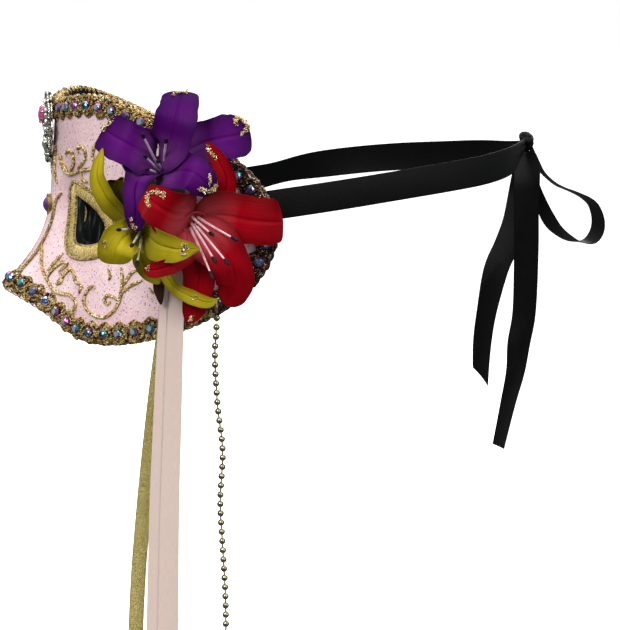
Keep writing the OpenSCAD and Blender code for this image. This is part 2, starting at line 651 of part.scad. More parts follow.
// Tie laid round the head behind the mask, folded narrower where it enters the knot
module tie_ribbon(side) {
  line = smooth_line(side > 0 ? left_tie : right_tie, smooth);
  n = len(line) - 1;
  inner_gap = 0.6;
  knot_reach = 4;
  function place(i) = face(side * line[i][0], line[i][1],
    knot_reach * bell(line[i][0] - 180, 6) - inner_gap - ribbon_t / 2);
  color("black") loft([for (i = [0:n])
    let (a = line[i][0], mid = place(i),
      t = unit(place(min(i + 1, n)) - place(max(i - 1, 0))), up = unit([0, 0, 1] - t * t[2]),
      out = cross(t, up) * side,
      tip_in = side > 0 ? 0 : right_lean * bell(a - right_lean_at, right_lean_spread),
      b = up * cos(tip_in) - out * sin(tip_in), c = out * cos(tip_in) + up * sin(tip_in),
      half = satin_w / 2 * (1 - 0.5 * bell(a - 180, 12)),
      corners = side > 0 ? [[-1, -1], [1, -1], [1, 1], [-1, 1]]
        : [[-1, 1], [1, 1], [1, -1], [-1, -1]])
    [for (q = corners) mid + b * half * q[0] + c * ribbon_t / 2 * q[1]]]);
}

module ribbon_knot() {
  color("black") hull() {
    translate([-1.6, 199.3, 21]) sphere(d = 6, $fn = 24);
    translate([1.6, 199.3, 21]) sphere(d = 6, $fn = 24);
    translate([0, 200.6, 24.1]) sphere(d = 5, $fn = 24);
  }
}

module bow_loop() {
  color("black") hanging_ribbon(loop_route);
}

module tail_long() {
  color("black") hanging_ribbon(long_route);
}

module tail_short() {
  color("black") hanging_ribbon(short_route);
}

mask_shell();
lining();
eye_band(1);  // eye_band_left
eye_band(-1);  // eye_band_right
eye_piping(1);  // eye_piping_left
eye_piping(-1);  // eye_piping_right
nose_piping();
braid(-braid_corner, braid_corner);  // braid_top
braid(180 - braid_corner, 180 + braid_corner);  // braid_bottom
braid(braid_corner, 180 - braid_corner);  // braid_side_left
braid(180 + braid_corner, 360 - braid_corner);  // braid_side_right
stones(-braid_corner, braid_corner, brooch_side);  // stones_top
stones(180 - braid_corner, 180 + braid_corner);  // stones_bottom
stones(braid_corner, 180 - braid_corner);  // stones_side_left
stones(180 + braid_corner, 360 - braid_corner);  // stones_side_right
scrolls(forehead_lines, 1);  // forehead_scroll_left
scrolls(forehead_lines, -1);  // forehead_scroll_right
scrolls(cheek_lines, 1);  // cheek_scroll_left
scrolls(cheek_lines, -1);  // cheek_scroll_right
brooch_filigree();
brooch_gem();
brooch_crystals();
bridge_bezel();
bridge_gem();
flower_pad();
purple_calyx();
purple_petals_outer();
purple_petals_inner();
purple_stamens();
red_calyx();
red_petals_outer();
red_petals_inner();
red_stamens();
green_calyx();
green_petals_outer();
green_petals_inner();
green_stamens();
dark_leaf();
pink_ribbon();
gold_ribbon();
chain_ring();
ball_chain();
tie_ribbon(1);  // tie_ribbon_left
tie_ribbon(-1);  // tie_ribbon_right
ribbon_knot();
bow_loop();
tail_long();
tail_short();
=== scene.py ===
"""Looks of the Venetian half mask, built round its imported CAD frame.

Lengths inside the helpers are millimetres, and become metres when a mesh is made.
The mask faces -Y, the wearer's left is +X and up is +Z.
"""

import math

import bpy
import numpy as np
from mathutils import Matrix, Vector


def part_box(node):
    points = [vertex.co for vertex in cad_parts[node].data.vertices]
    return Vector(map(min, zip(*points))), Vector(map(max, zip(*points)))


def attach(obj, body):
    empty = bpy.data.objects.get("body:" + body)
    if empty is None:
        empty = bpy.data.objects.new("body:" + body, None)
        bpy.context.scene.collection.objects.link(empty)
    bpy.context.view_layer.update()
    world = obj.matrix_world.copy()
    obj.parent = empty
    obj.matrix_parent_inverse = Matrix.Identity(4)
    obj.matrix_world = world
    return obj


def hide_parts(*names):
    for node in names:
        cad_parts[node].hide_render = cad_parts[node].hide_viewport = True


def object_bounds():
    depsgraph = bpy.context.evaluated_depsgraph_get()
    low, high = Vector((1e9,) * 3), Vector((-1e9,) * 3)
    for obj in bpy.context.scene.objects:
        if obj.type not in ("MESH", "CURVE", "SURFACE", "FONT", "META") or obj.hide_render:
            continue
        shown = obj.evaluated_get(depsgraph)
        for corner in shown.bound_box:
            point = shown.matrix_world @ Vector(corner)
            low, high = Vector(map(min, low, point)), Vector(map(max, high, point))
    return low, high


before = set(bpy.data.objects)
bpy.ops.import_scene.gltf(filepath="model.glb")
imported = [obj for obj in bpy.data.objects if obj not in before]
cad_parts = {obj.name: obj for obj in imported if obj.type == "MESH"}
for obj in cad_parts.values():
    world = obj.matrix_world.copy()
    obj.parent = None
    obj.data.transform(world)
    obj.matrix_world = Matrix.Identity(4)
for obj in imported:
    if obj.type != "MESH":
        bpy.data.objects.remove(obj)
cad_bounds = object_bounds()

MM = 0.001
rng = np.random.default_rng(7)


def box_mm(node):
    """Lowest and highest corner of a CAD node, in millimetres."""
    low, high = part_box(node)
    return np.array(low) / MM, np.array(high) / MM


# ---------------------------------------------------------------- the head and the shell
HEAD_HALF_W, HEAD_FRONT, HEAD_BACK = 76.0, 95.0, 102.0
SHELL_T, LINING_T = 2.0, 0.8
SKIN = SHELL_T + LINING_T
SIDE_ANGLE = 79.0
ARC_MM = 1.55
BRAID_INSET = 3.6
BRAID_CORNER = 52
STONE_PITCH = 7.3


def bell(v, w):
    return np.exp(-((v / w) ** 2))


def unit(v):
    return v / np.maximum(np.linalg.norm(v, axis=-1, keepdims=True), 1e-9)


def face_r(a, z):
    s, c = np.sin(np.radians(a)), np.cos(np.radians(a))
    depth = np.where(c >= 0, HEAD_FRONT, HEAD_BACK)
    head = 1 / np.sqrt((s / HEAD_HALF_W) ** 2 + (c / depth) ** 2)
    nose = 20 * np.maximum(0, (4 - z) / 43) ** 2.1 * bell(a, 9)
    hollow = 7 * bell(z + 5, 22) * (1 - bell(a, 6)) * bell(a, 50)
    return head + nose - hollow


def face(a, z, out=0.0):
    """Point at an angle and a height, a radial distance out from the lining's inner face."""
    a, z = np.broadcast_arrays(np.asarray(a, float), np.asarray(z, float))
    r = face_r(a, z) + out
    s, c = np.sin(np.radians(a)), np.cos(np.radians(a))
    return np.stack([r * s, HEAD_FRONT - r * c + 0.07 * z * c, z], -1)


def face_normal(a, z):
    da = face(np.asarray(a) + 0.5, z) - face(np.asarray(a) - 0.5, z)
    dz = face(a, np.asarray(z) + 0.5) - face(a, np.asarray(z) - 0.5)
    return unit(np.cross(da, dz))


def on_shell(a, z, h):
    return face(a, z, SKIN) + np.asarray(h)[..., None] * face_normal(a, z)


def outline_at(u, v):
    a = SIDE_ANGLE * u
    mid = -8 + 5 * bell(a, 12) + 6 * bell(a, 32)
    half = 53.5 - 14.5 * bell(a, 17)
    return a, mid + half * v


def edge_in(turn, inset):
    """Point a distance in from the mask's edge, with turn 0 at the top of the forehead."""
    a, z = outline_at(np.sin(np.radians(turn)), np.cos(np.radians(turn)))
    a2, z2 = outline_at(np.sin(np.radians(turn + 1)), np.cos(np.radians(turn + 1)))
    t = unit(np.stack([(a2 - a) * ARC_MM, z2 - z], -1))
    return a + t[..., 1] * inset / ARC_MM, z - t[..., 0] * inset


def catmull(p, k, closed=False):
    """A smooth line through control points, with k steps between two of them."""
    p = np.asarray(p, float)
    n = len(p)
    out = []
    for i in range(n if closed else n - 1):
        if closed:
            a, b, c, d = p[i - 1], p[i], p[(i + 1) % n], p[(i + 2) % n]
        else:
            a, b, c, d = p[max(i - 1, 0)], p[i], p[i + 1], p[min(i + 2, n - 1)]
        for j in range(k):
            t = j / k
            out.append(0.5 * (2 * b + (c - a) * t + (2 * a - 5 * b + 4 * c - d) * t * t
                              + (3 * b - a - 3 * c + d) * t ** 3))
    if not closed:
        out.append(p[-1])
    return np.array(out)


def arc(points):
    return np.concatenate([[0], np.cumsum(np.linalg.norm(np.diff(points, axis=0), axis=1))])


def resample(points, step, *more, closed=False):
    """Points at even distances along a line, and any other rows of values along with them."""
    rows = [np.asarray(points, float)] + [np.asarray(m, float) for m in more]
    if closed:
        rows = [np.concatenate([r, r[:1]]) for r in rows]
    s = arc(rows[0][:, :3])
    count = max(3, int(round(s[-1] / step)))
    at = np.linspace(0, s[-1], count + 1)
    if closed:
        at = at[:-1]
    out = [np.stack([np.interp(at, s, r[:, k]) for k in range(r.shape[1])], -1) for r in rows]
    return out if more else out[0]


def grow_ring(ring, d):
    s = np.roll(ring, -1, 0) - np.roll(ring, 1, 0)
    t = unit(s * [ARC_MM, 1])
    return np.stack([ring[:, 0] - t[:, 1] * d / ARC_MM, ring[:, 1] + t[:, 0] * d], -1)


# ---------------------------------------------------------------- mesh building
class Shape:
    """Gathers vertices, faces, texture places and tints of one piece."""

    def __init__(self):
        self.v, self.f, self.uv, self.tint, self.n = [], [], [], [], 0
        self.flat = []

    def raw(self, verts, faces, uv=None, tint=(1, 1, 1), smooth=True):
        verts = np.asarray(verts, float).reshape(-1, 3)
        self.v.append(verts)
        for k, f in enumerate(faces):
            self.f.append([int(i) + self.n for i in f])
            self.uv.extend(uv[k] if uv is not None else [(0.0, 0.0)] * len(f))
            self.tint.extend([tint] * len(f))
            self.flat.append(not smooth)
        self.n += len(verts)

    def grid(self, p, u, v, close_u=False, close_v=False, tint=(1, 1, 1), smooth=True):
        m, n, _ = p.shape
        rows, cols = (m if close_u else m - 1), (n if close_v else n - 1)
        i, j = [x.ravel() for x in np.meshgrid(range(rows), range(cols), indexing="ij")]
        i2, j2 = i + 1, j + 1
        at = lambda x, y: (x % m) * n + (y % n)
        faces = np.stack([at(i, j), at(i, j2), at(i2, j2), at(i2, j)], -1)
        u, v = np.asarray(u, float), np.asarray(v, float)
        uv = np.stack([np.stack([u[i], v[j]], -1), np.stack([u[i], v[j2]], -1),
                       np.stack([u[i2], v[j2]], -1), np.stack([u[i2], v[j]], -1)], 1)
        self.raw(p, faces.tolist(), uv.tolist(), tint, smooth)

    def tube(self, pts, radius, sides=8, refs=None, close=False, tint=(1, 1, 1), squash=1.0):
        pts = np.asarray(pts, float)
        m = len(pts)
        if close:
            t = unit(np.roll(pts, -1, 0) - np.roll(pts, 1, 0))
        else:
            t = unit(np.gradient(pts, axis=0))
        if refs is None:
            ref = np.array([0.13, 0.21, 0.97]) if abs(t[:, 2]).mean() < 0.8 else np.array([0.95, 0.2, 0.1])
            refs = np.tile(ref, (m, 1))
        refs = np.broadcast_to(refs, (m, 3))
        b = unit(np.cross(refs, t))
        c = np.cross(t, b)
        k = np.arange(sides) * 2 * np.pi / sides
        r = np.broadcast_to(np.asarray(radius, float), (m,))[:, None, None]
        ring = pts[:, None] + r * (b[:, None] * np.cos(k)[:, None] + c[:, None] * np.sin(k)[:, None] * squash)
        s = arc(np.concatenate([pts, pts[:1]])) if close else arc(pts)
        self.grid(ring, s, np.arange(sides + 1) / sides, close, True, tint)
        if not close:
            base = self.n - m * sides
            self.f.append([base + x for x in range(sides)][::-1])
            self.f.append([base + (m - 1) * sides + x for x in range(sides)])
            self.uv.extend([(0.0, 0.0)] * (2 * sides))
            self.tint.extend([tint] * (2 * sides))
            self.flat.extend([False, False])

    def rope(self, pts, width, pitch, strands=2, refs=None, close=False, step=8, sides=6, tint=(1, 1, 1), taper=0.0):
        """Strands twisted round a line."""
        if refs is None:
            refs = np.tile([0.13, 0.21, 0.97], (len(pts), 1))
        pts, refs = resample(pts, pitch / step, refs, closed=close)
        m = len(pts)
        t = unit(np.roll(pts, -1, 0) - np.roll(pts, 1, 0)) if close else unit(np.gradient(pts, axis=0))
        b = unit(np.cross(refs, t))
        c = np.cross(t, b)
        r = width / 4 * (1.18 if strands == 2 else 0.95)
        if close:
            turns = max(1, round(m / step))
            th = np.arange(m) * 2 * np.pi * turns / m
            ends = np.ones(m)
        else:
            th = np.arange(m) * 2 * np.pi / step
            x = np.linspace(0, 1, m)
            ends = 1 - taper * np.clip(1 - np.minimum(x, 1 - x) * m / (1.5 * step), 0, 1)
        off = width / 2 - r
        for k in range(strands):
            a = th + 2 * np.pi * k / strands
            q = pts + (off * ends)[:, None] * (b * np.cos(a)[:, None] + c * np.sin(a)[:, None])
            self.tube(q, r * ends, sides, refs, close, tint)

    def solid_sheet(self, p, normals, thick, u, v, tint=(1, 1, 1), back=None):
        """Closed thin solid on both sides of a grid of points; the back can have its own tint, used to darken the inner
        side of rolled petals with painted shade.
        """
        m, n, _ = p.shape
        h = np.broadcast_to(np.asarray(thick, float), (m, n))[..., None] / 2
        ring = np.concatenate([p + normals * h, (p - normals * h)[:, ::-1]], 1)
        v = np.asarray(v, float)
        start = self.n
        first = len(self.tint)
        self.grid(ring, u, np.concatenate([v, v[::-1], v[:1]]), False, True, tint)
        w = 2 * n
        if back:
            for k in range((m - 1) * w):
                if n <= k % w < w - 1:
                    self.tint[first + 4 * k:first + 4 * k + 4] = [back] * 4
        for row, turn in ((0, 1), (m - 1, -1)):
            base = start + row * w
            for j in range(n - 1):
                q = [base + j, base + w - 1 - j, base + w - 2 - j, base + j + 1][::turn]
                self.f.append(q)
                self.uv.extend([(float(u[row]), float(v[j]))] * 4)
                self.tint.extend([tint] * 4)
                self.flat.append(False)

    def solid_cup(self, p, normals, thick):
        """Closed thin cup through rings of points."""
        ring = np.concatenate([p + normals * thick / 2, (p - normals * thick / 2)[::-1]])
        m, n, _ = ring.shape
        self.grid(ring, np.full(m + 1, 0.04), np.linspace(0.5, 0.5, n + 1), True, True)

    def bits(self, points, radius, tints):
        """Small eight-sided grains."""
        o = np.array([[1, 0, 0], [-1, 0, 0], [0, 1, 0], [0, -1, 0], [0, 0, 1], [0, 0, -1]], float)
        f = [[0, 2, 4], [2, 1, 4], [1, 3, 4], [3, 0, 4], [2, 0, 5], [1, 2, 5], [3, 1, 5], [0, 3, 5]]
        for p, r, t in zip(points, np.broadcast_to(radius, (len(points),)), tints):
            q = unit(rng.normal(size=3))
            x = unit(np.cross(q, [0.3, 0.5, 0.8]))
            rot = np.stack([q, x, np.cross(q, x)], 1)
            self.raw(p + (o * r) @ rot.T, f, tint=tuple(t), smooth=False)

    def ball(self, centre, radii, seg=16, rows=10, axes=None, tint=(1, 1, 1), low=-90.0):
        """Ellipsoid, or its cap above a latitude, along three axes."""
        axes = np.eye(3) if axes is None else np.asarray(axes, float)
        lat = np.radians(np.linspace(low + 0.5, 89.5, rows))
        lon = np.arange(seg) * 2 * np.pi / seg
        p = np.stack([np.cos(lat)[:, None] * np.cos(lon), np.cos(lat)[:, None] * np.sin(lon),
                      np.repeat(np.sin(lat)[:, None], seg, 1)], -1) * np.asarray(radii, float)
        p = p @ axes + np.asarray(centre, float)
        start = self.n
        self.grid(p, np.linspace(0, 1, rows), np.arange(seg + 1) / seg, False, True, tint)
        self.f.append([start + x for x in range(seg)][::-1])
        self.f.append([start + (rows - 1) * seg + x for x in range(seg)])
        self.uv.extend([(0.0, 0.0)] * (2 * seg))
        self.tint.extend([tint] * (2 * seg))
        self.flat.extend([False, False])

    def make(self, name, material, body, slot, *nodes, crease=50.0):
        mesh = bpy.data.meshes.new(name)
        verts = np.concatenate(self.v) * MM
        mesh.from_pydata(verts.tolist(), [], self.f)
        layer = mesh.uv_layers.new(name="UVMap")
        layer.data.foreach_set("uv", np.asarray(self.uv, np.float32).ravel())
        tint = mesh.color_attributes.new("tint", "FLOAT_COLOR", "CORNER")
        col = np.asarray(self.tint, np.float32)
        tint.data.foreach_set("color", np.concatenate([col, np.ones((len(col), 1), np.float32)], 1).ravel())
        mesh.polygons.foreach_set("use_smooth", ~np.array(self.flat))
        mesh.materials.append(material)
        mesh.update()
        if crease:
            mesh.set_sharp_from_angle(angle=math.radians(crease))
        tri = np.zeros(len(mesh.loop_triangles) * 3, np.int32) if mesh.loop_triangles else None
        mesh.calc_loop_triangles()
        tri = np.zeros(len(mesh.loop_triangles) * 3, np.int32)
        mesh.loop_triangles.foreach_get("vertices", tri)
        a, b, c = verts[tri.reshape(-1, 3)].transpose(1, 0, 2)
        if np.einsum("ij,ij->i", a, np.cross(b, c)).sum() < 0:
            mesh.flip_normals()
        obj = bpy.data.objects.new(name, mesh)
        bpy.context.scene.collection.objects.link(obj)
        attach(obj, body)
        if nodes:
            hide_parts(*nodes)
        return obj


def freeze(obj):
    """Applies the modifiers of a piece to its mesh."""
    graph = bpy.context.evaluated_depsgraph_get()
    mesh = bpy.data.meshes.new_from_object(obj.evaluated_get(graph))
    old = obj.data
    obj.modifiers.clear()
    obj.data = mesh
    bpy.data.meshes.remove(old)
    return obj


# ---------------------------------------------------------------- materials
class Look:
    """A node material with short names for the nodes it needs."""

    def __init__(self, name, rough=0.5, metal=0.0, color=(0.5, 0.5, 0.5)):
        self.m = bpy.data.materials.new(name)
        self.m.use_nodes = True
        self.t = self.m.node_tree
        self.b = self.t.nodes["Principled BSDF"]
        self.put("Roughness", rough)
        self.put("Metallic", metal)
        self.put("Base Color", (*color, 1))

    def put(self, socket, value):
        if hasattr(value, "links"):
            self.t.links.new(value, self.b.inputs[socket])
        else:
            self.b.inputs[socket].default_value = value
        return self

    def new(self, kind, **values):
        n = self.t.nodes.new("ShaderNode" + kind)
        for k, v in values.items():
            setattr(n, k, v)
        return n

    def feed(self, socket, value):
        if hasattr(value, "links"):
            self.t.links.new(value, socket)
        elif value is not None:
            socket.default_value = value

    def at(self, kind="Object"):
        return self.new("TexCoord").outputs[kind]

    def tint(self):
        n = self.new("VertexColor")
        n.layer_name = "tint"
        return n.outputs["Color"]

    def scaled(self, vector, scale, turn=(0, 0, 0)):
        n = self.new("Mapping")
        self.feed(n.inputs["Vector"], vector)
        n.inputs["Scale"].default_value = scale
        n.inputs["Rotation"].default_value = turn
        return n.outputs["Vector"]

    def noise(self, scale, vector=None, detail=3.0, rough=0.55):
        n = self.new("TexNoise")
        self.feed(n.inputs["Vector"], vector if vector is not None else self.at())
        n.inputs["Scale"].default_value = scale
        n.inputs["Detail"].default_value = detail
        n.inputs["Roughness"].default_value = rough
        return n.outputs["Fac"]

    def cells(self, scale, vector=None, feature="F1"):
        n = self.new("TexVoronoi", feature=feature)
        self.feed(n.inputs["Vector"], vector if vector is not None else self.at())
        n.inputs["Scale"].default_value = scale
        return n

    def wave(self, scale, vector, direction="X", distort=0.0, profile="SIN"):
        n = self.new("TexWave", bands_direction=direction, wave_profile=profile)
        self.feed(n.inputs["Vector"], vector)
        n.inputs["Scale"].default_value = scale
        n.inputs["Distortion"].default_value = distort
        return n.outputs["Fac"]

    def ramp(self, fac, stops, constant=False):
        n = self.new("ValToRGB")
        self.feed(n.inputs["Fac"], fac)
        if constant:
            n.color_ramp.interpolation = "CONSTANT"
        e = n.color_ramp.elements
        while len(e) < len(stops):
            e.new(0.5)
        for el, (pos, col) in zip(e, stops):
            el.position = pos
            el.color = (*col, 1) if len(col) == 3 else col
        return n.outputs["Color"]

    def mix(self, fac, a, b, blend="MIX"):
        n = self.new("Mix", data_type="RGBA", blend_type=blend)
        self.feed(n.inputs[0], fac)
        self.feed(n.inputs[6], a if hasattr(a, "links") else (*a, 1))
        self.feed(n.inputs[7], b if hasattr(b, "links") else (*b, 1))
        return n.outputs[2]

    def calc(self, op, a, b=None, clamp=False):
        n = self.new("Math", operation=op, use_clamp=clamp)
        self.feed(n.inputs[0], a)
        self.feed(n.inputs[1], b)
        return n.outputs[0]

    def part(self, vector, axis):
        n = self.new("SeparateXYZ")
        self.feed(n.inputs[0], vector)
        return n.outputs[axis]

    def range(self, value, a, b, c=0.0, d=1.0, smooth=False):
        n = self.new("MapRange", clamp=True)
        if smooth:
            n.interpolation_type = "SMOOTHSTEP"
        self.feed(n.inputs[0], value)
        for k, x in enumerate((a, b, c, d)):
            n.inputs[k + 1].default_value = x
        return n.outputs[0]

    def bump(self, height, distance, strength=1.0, normal=None):
        n = self.new("Bump")
        n.inputs["Strength"].default_value = strength
        n.inputs["Distance"].default_value = distance
        self.feed(n.inputs["Height"], height)
        if normal is not None:
            self.feed(n.inputs["Normal"], normal)
        self.put("Normal", n.outputs["Normal"])
        return n.outputs["Normal"]


def pink_lacquer():
    k = Look("pink_glitter_lacquer", rough=0.3)
    tone = k.ramp(k.noise(55, detail=4), [(0.3, (0.86, 0.57, 0.60)), (0.7, (0.99, 0.80, 0.80))])
    fine = k.cells(2300)
    grain = k.ramp(k.part(fine.outputs["Color"], "X"),
                   [(0.0, (0.80, 0.62, 0.70)), (0.25, (1, 1, 1)), (0.8, (1, 1, 1)), (1.0, (1.16, 1.13, 1.15))])
    col = k.mix(1.0, tone, grain, "MULTIPLY")
    big = k.cells(1150)
    pick = k.calc("LESS_THAN", k.part(big.outputs["Color"], "Y"), 0.24)
    near = k.calc("LESS_THAN", big.outputs["Distance"], 0.36)
    speck = k.calc("MULTIPLY", pick, near)
    hue = k.ramp(k.part(big.outputs["Color"], "Z"),
                 [(0.0, (0.20, 0.08, 0.20)), (0.6, (0.40, 0.24, 0.36)), (0.85, (0.95, 0.92, 0.95))])
    k.put("Base Color", k.mix(speck, col, hue))
    k.put("Metallic", k.calc("MULTIPLY", speck, 0.4))
    k.put("Coat Weight", 0.55)
    k.put("Coat Roughness", 0.12)
    h = k.calc("ADD", k.calc("MULTIPLY", k.part(fine.outputs["Color"], "Z"), 0.5), k.noise(130, detail=3))
    k.bump(h, 0.00012, 0.6)
    return k.m


def black_lining():
    k = Look("black_felt", rough=0.85)
    long_way = k.scaled(k.at(), (1, 1, 0.06))
    streak = k.noise(420, long_way, detail=4)
    k.put("Base Color", k.ramp(streak, [(0.42, (0.003, 0.0035, 0.0035)), (0.60, (0.010, 0.012, 0.012)),
                                        (0.74, (0.10, 0.11, 0.11))]))
    k.put("Specular IOR Level", 0.1)
    k.bump(k.noise(2600, detail=2), 0.0003, 0.7)
    return k.m


def glitter_gold(name, dark, mid, light, size=2100.0, metal=0.75, rough=0.32, twist=0.0, lump=0.0):
    """Metallic thread or glitter glue: small grains from dark to bright, with twisted threads if asked. The darkest
    grains are painted shade, the brightest are painted glints, and the grooves between twisted threads are darkened
    with painted shade.
    """
    k = Look(name, rough=rough, metal=metal)
    grain = k.cells(size)
    pick = k.part(grain.outputs["Color"], "X")
    # the dark end of the grain ramp is painted shade and the bright end is painted glints
    col = k.ramp(pick, [(0.0, dark), (0.22, dark), (0.5, mid), (0.78, mid), (0.95, light), (1.0, light)])
    h = k.calc("MULTIPLY", k.part(grain.outputs["Color"], "Y"), 0.6)
    if twist:
        uv = k.at("UV")
        turn = k.calc("ADD", k.calc("MULTIPLY", k.part(uv, "X"), 1 / twist), k.part(uv, "Y"))
        thread = k.calc("SINE", k.calc("MULTIPLY", turn, 2 * math.pi * 2))
        ridge = k.range(thread, -1, 1, 0, 1)
        # darkens the grooves between the twisted threads towards the dark colour: painted shade
        col = k.mix(k.range(thread, -1.0, 0.1, 0.62, 0.0), col, dark)
        h = k.calc("ADD", h, k.calc("MULTIPLY", ridge, 1.6))
    if lump:
        h = k.calc("ADD", h, k.calc("MULTIPLY", k.noise(lump, detail=2), 2.0))
    k.put("Base Color", col)
    k.put("Roughness", k.range(k.part(grain.outputs["Color"], "Z"), 0, 1, rough * 0.6, rough * 1.5))
    k.bump(h, 0.00016, 0.9)
    return k.m


def band_gold():
    """Ribbed metallic thread of the eye bands: U runs round the eye. The troughs between the ribs and some strands are
    darkened with painted shade.
    """
    k = Look("ribbed_gold_thread", rough=0.36, metal=0.15)
    grain = k.cells(1900)
    pick = k.part(grain.outputs["Color"], "X")
    col = k.ramp(pick, [(0.0, (0.48, 0.30, 0.05)), (0.2, (0.88, 0.62, 0.15)), (0.5, (1.0, 0.82, 0.30)),
                        (1.0, (1.0, 0.97, 0.62))])
    k.put("Specular IOR Level", 0.3)
    uv = k.at("UV")
    rib = k.calc("SINE", k.calc("MULTIPLY", k.part(uv, "X"), 2 * math.pi / 0.52))
    strand = k.noise(1.0, k.scaled(uv, (1.6, 3.0, 1.0)), detail=3)
    # the troughs between the ribs and, by noise, some strands are darkened towards dark gold: painted shade
    col = k.mix(k.range(rib, -1, 0.0, 0.55, 0.0), col, (0.40, 0.25, 0.06))
    col = k.mix(k.range(strand, 0.34, 0.46, 0.6, 0.0), col, (0.42, 0.27, 0.07))
    k.put("Base Color", col)
    k.bump(k.calc("ADD", k.calc("MULTIPLY", rib, 0.8), k.part(grain.outputs["Color"], "Y")), 0.0002, 0.9)
    return k.m


def stone_look():
    k = Look("iridescent_rhinestone", rough=0.08, metal=0.8)
    shift = k.noise(900, detail=1)
    k.put("Base Color", k.mix(k.range(shift, 0.35, 0.65, 0, 0.15), k.tint(), (0.45, 0.70, 0.95)))
    k.put("Coat Weight", 0.5)
    k.put("Coat Roughness", 0.03)
    return k.m


def gem_look(name, deep, bright, rough=0.06):
    k = Look(name, rough=rough)
    k.put("Base Color", k.mix(k.noise(260, detail=2), deep, bright))
    k.put("Coat Weight", 1.0)
    k.put("Coat Roughness", 0.03)
    k.put("Specular IOR Level", 0.8)
    return k.m


def silver_look():
    """Antique silver: bright relief over a black patina."""
    k = Look("antique_silver", metal=1.0)
    wear = k.noise(620, detail=4)
    low = k.noise(1500, detail=2)
    col = k.ramp(wear, [(0.36, (0.012, 0.012, 0.010)), (0.45, (0.22, 0.215, 0.18)), (0.53, (0.90, 0.89, 0.78)),
                        (1.0, (0.98, 0.97, 0.90))])
    k.put("Base Color", k.mix(k.range(low, 0.35, 0.46, 0.6, 0.0), col, (0.02, 0.02, 0.017)))
    k.put("Roughness", k.range(wear, 0.4, 0.6, 0.45, 0.16))
    k.bump(low, 0.00025, 0.9)
    return k.m


def metal_look(name, low, high, rough=0.22):
    k = Look(name, rough=rough, metal=1.0)
    n = k.noise(700, detail=3)
    k.put("Base Color", k.mix(k.range(n, 0.3, 0.7), low, high))
    k.put("Roughness", k.range(n, 0.3, 0.7, rough * 1.5, rough * 0.8))
    k.bump(k.noise(2500, detail=2), 0.00004, 0.5)
    return k.m


def silk_look(name, throat, mid, tip, edge, vein, rough=0.48):
    """Petal cloth: U runs from throat to tip and V across, both from 0 to 1."""
    k = Look(name, rough=rough)
    uv = k.at("UV")
    u, v = k.part(uv, "X"), k.part(uv, "Y")
    col = k.ramp(u, [(0.0, throat), (0.14, throat), (0.40, mid), (0.66, mid), (1.0, tip)])
    across = k.calc("ABSOLUTE", k.calc("SUBTRACT", k.calc("MULTIPLY", v, 2.0), 1.0))
    col = k.mix(k.calc("MULTIPLY", k.calc("POWER", across, 2.2), 0.75), col, edge)
    rib = k.noise(1.0, k.scaled(uv, (2.2, 20.0, 1.0)), detail=3, rough=0.5)
    col = k.mix(k.range(rib, 0.36, 0.60, 0.30, 0.0), col, vein)
    blotch = k.noise(75, detail=3)
    col = k.mix(k.range(blotch, 0.36, 0.64, 0.40, 0.0), col, edge)
    # the tint multiplies the colour; on rolled petals it darkens the inner side with painted shade
    k.put("Base Color", k.mix(1.0, col, k.tint(), "MULTIPLY"))
    k.put("Specular IOR Level", 0.05)
    k.put("Roughness", k.range(blotch, 0.3, 0.7, rough * 0.85, rough * 1.15))
    weave = k.noise(3200, detail=1)
    midrib = k.range(across, 0.0, 0.10, 0.0, 1.0, True)
    h = k.calc("ADD", k.calc("MULTIPLY", rib, 0.9), k.calc("ADD", k.calc("MULTIPLY", weave, 0.12),
                                                          k.calc("MULTIPLY", midrib, 0.6)))
    k.bump(h, 0.0004, 0.45)
    return k.m


def satin_look(name, color, shade, rough, line=None, line_color=None, blotch=60.0, sheen=0.2,
               specular=0.5):
    """Satin ribbon: U runs along in millimetres and V across from 0 to 1."""
    k = Look(name, rough=rough)
    uv = k.at("UV")
    long_way = k.scaled(uv, (0.35, 60.0, 1.0))
    thread = k.noise(1.0, long_way, detail=4)
    col = k.mix(k.range(thread, 0.3, 0.7), shade, color)
    mottled = k.noise(blotch, k.scaled(k.at(), (1, 1, 0.35)), detail=4)
    col = k.mix(k.range(mottled, 0.35, 0.7, 0.35, 0.0), col, shade)
    v = k.part(uv, "Y")
    selvedge = k.calc("ABSOLUTE", k.calc("SUBTRACT", k.calc("MULTIPLY", v, 2.0), 1.0))
    col = k.mix(k.range(selvedge, 0.90, 0.98, 0.0, 0.5), col, shade)
    if line is not None:
        gap = k.calc("ABSOLUTE", k.calc("SUBTRACT", v, line))
        col = k.mix(k.range(gap, 0.0, 0.035, 0.7, 0.0), col, line_color)
    k.put("Base Color", col)
    k.put("Sheen Weight", sheen)
    k.put("Sheen Roughness", 0.35)
    k.put("Anisotropic", 0.5)
    k.put("Specular IOR Level", specular)
    weft = k.calc("SINE", k.calc("MULTIPLY", k.part(uv, "X"), 2 * math.pi / 0.3))
    h = k.calc("ADD", k.calc("MULTIPLY", thread, 0.6), k.calc("MULTIPLY", weft, 0.12))
    k.bump(h, 0.00012, 0.6)
    return k.m


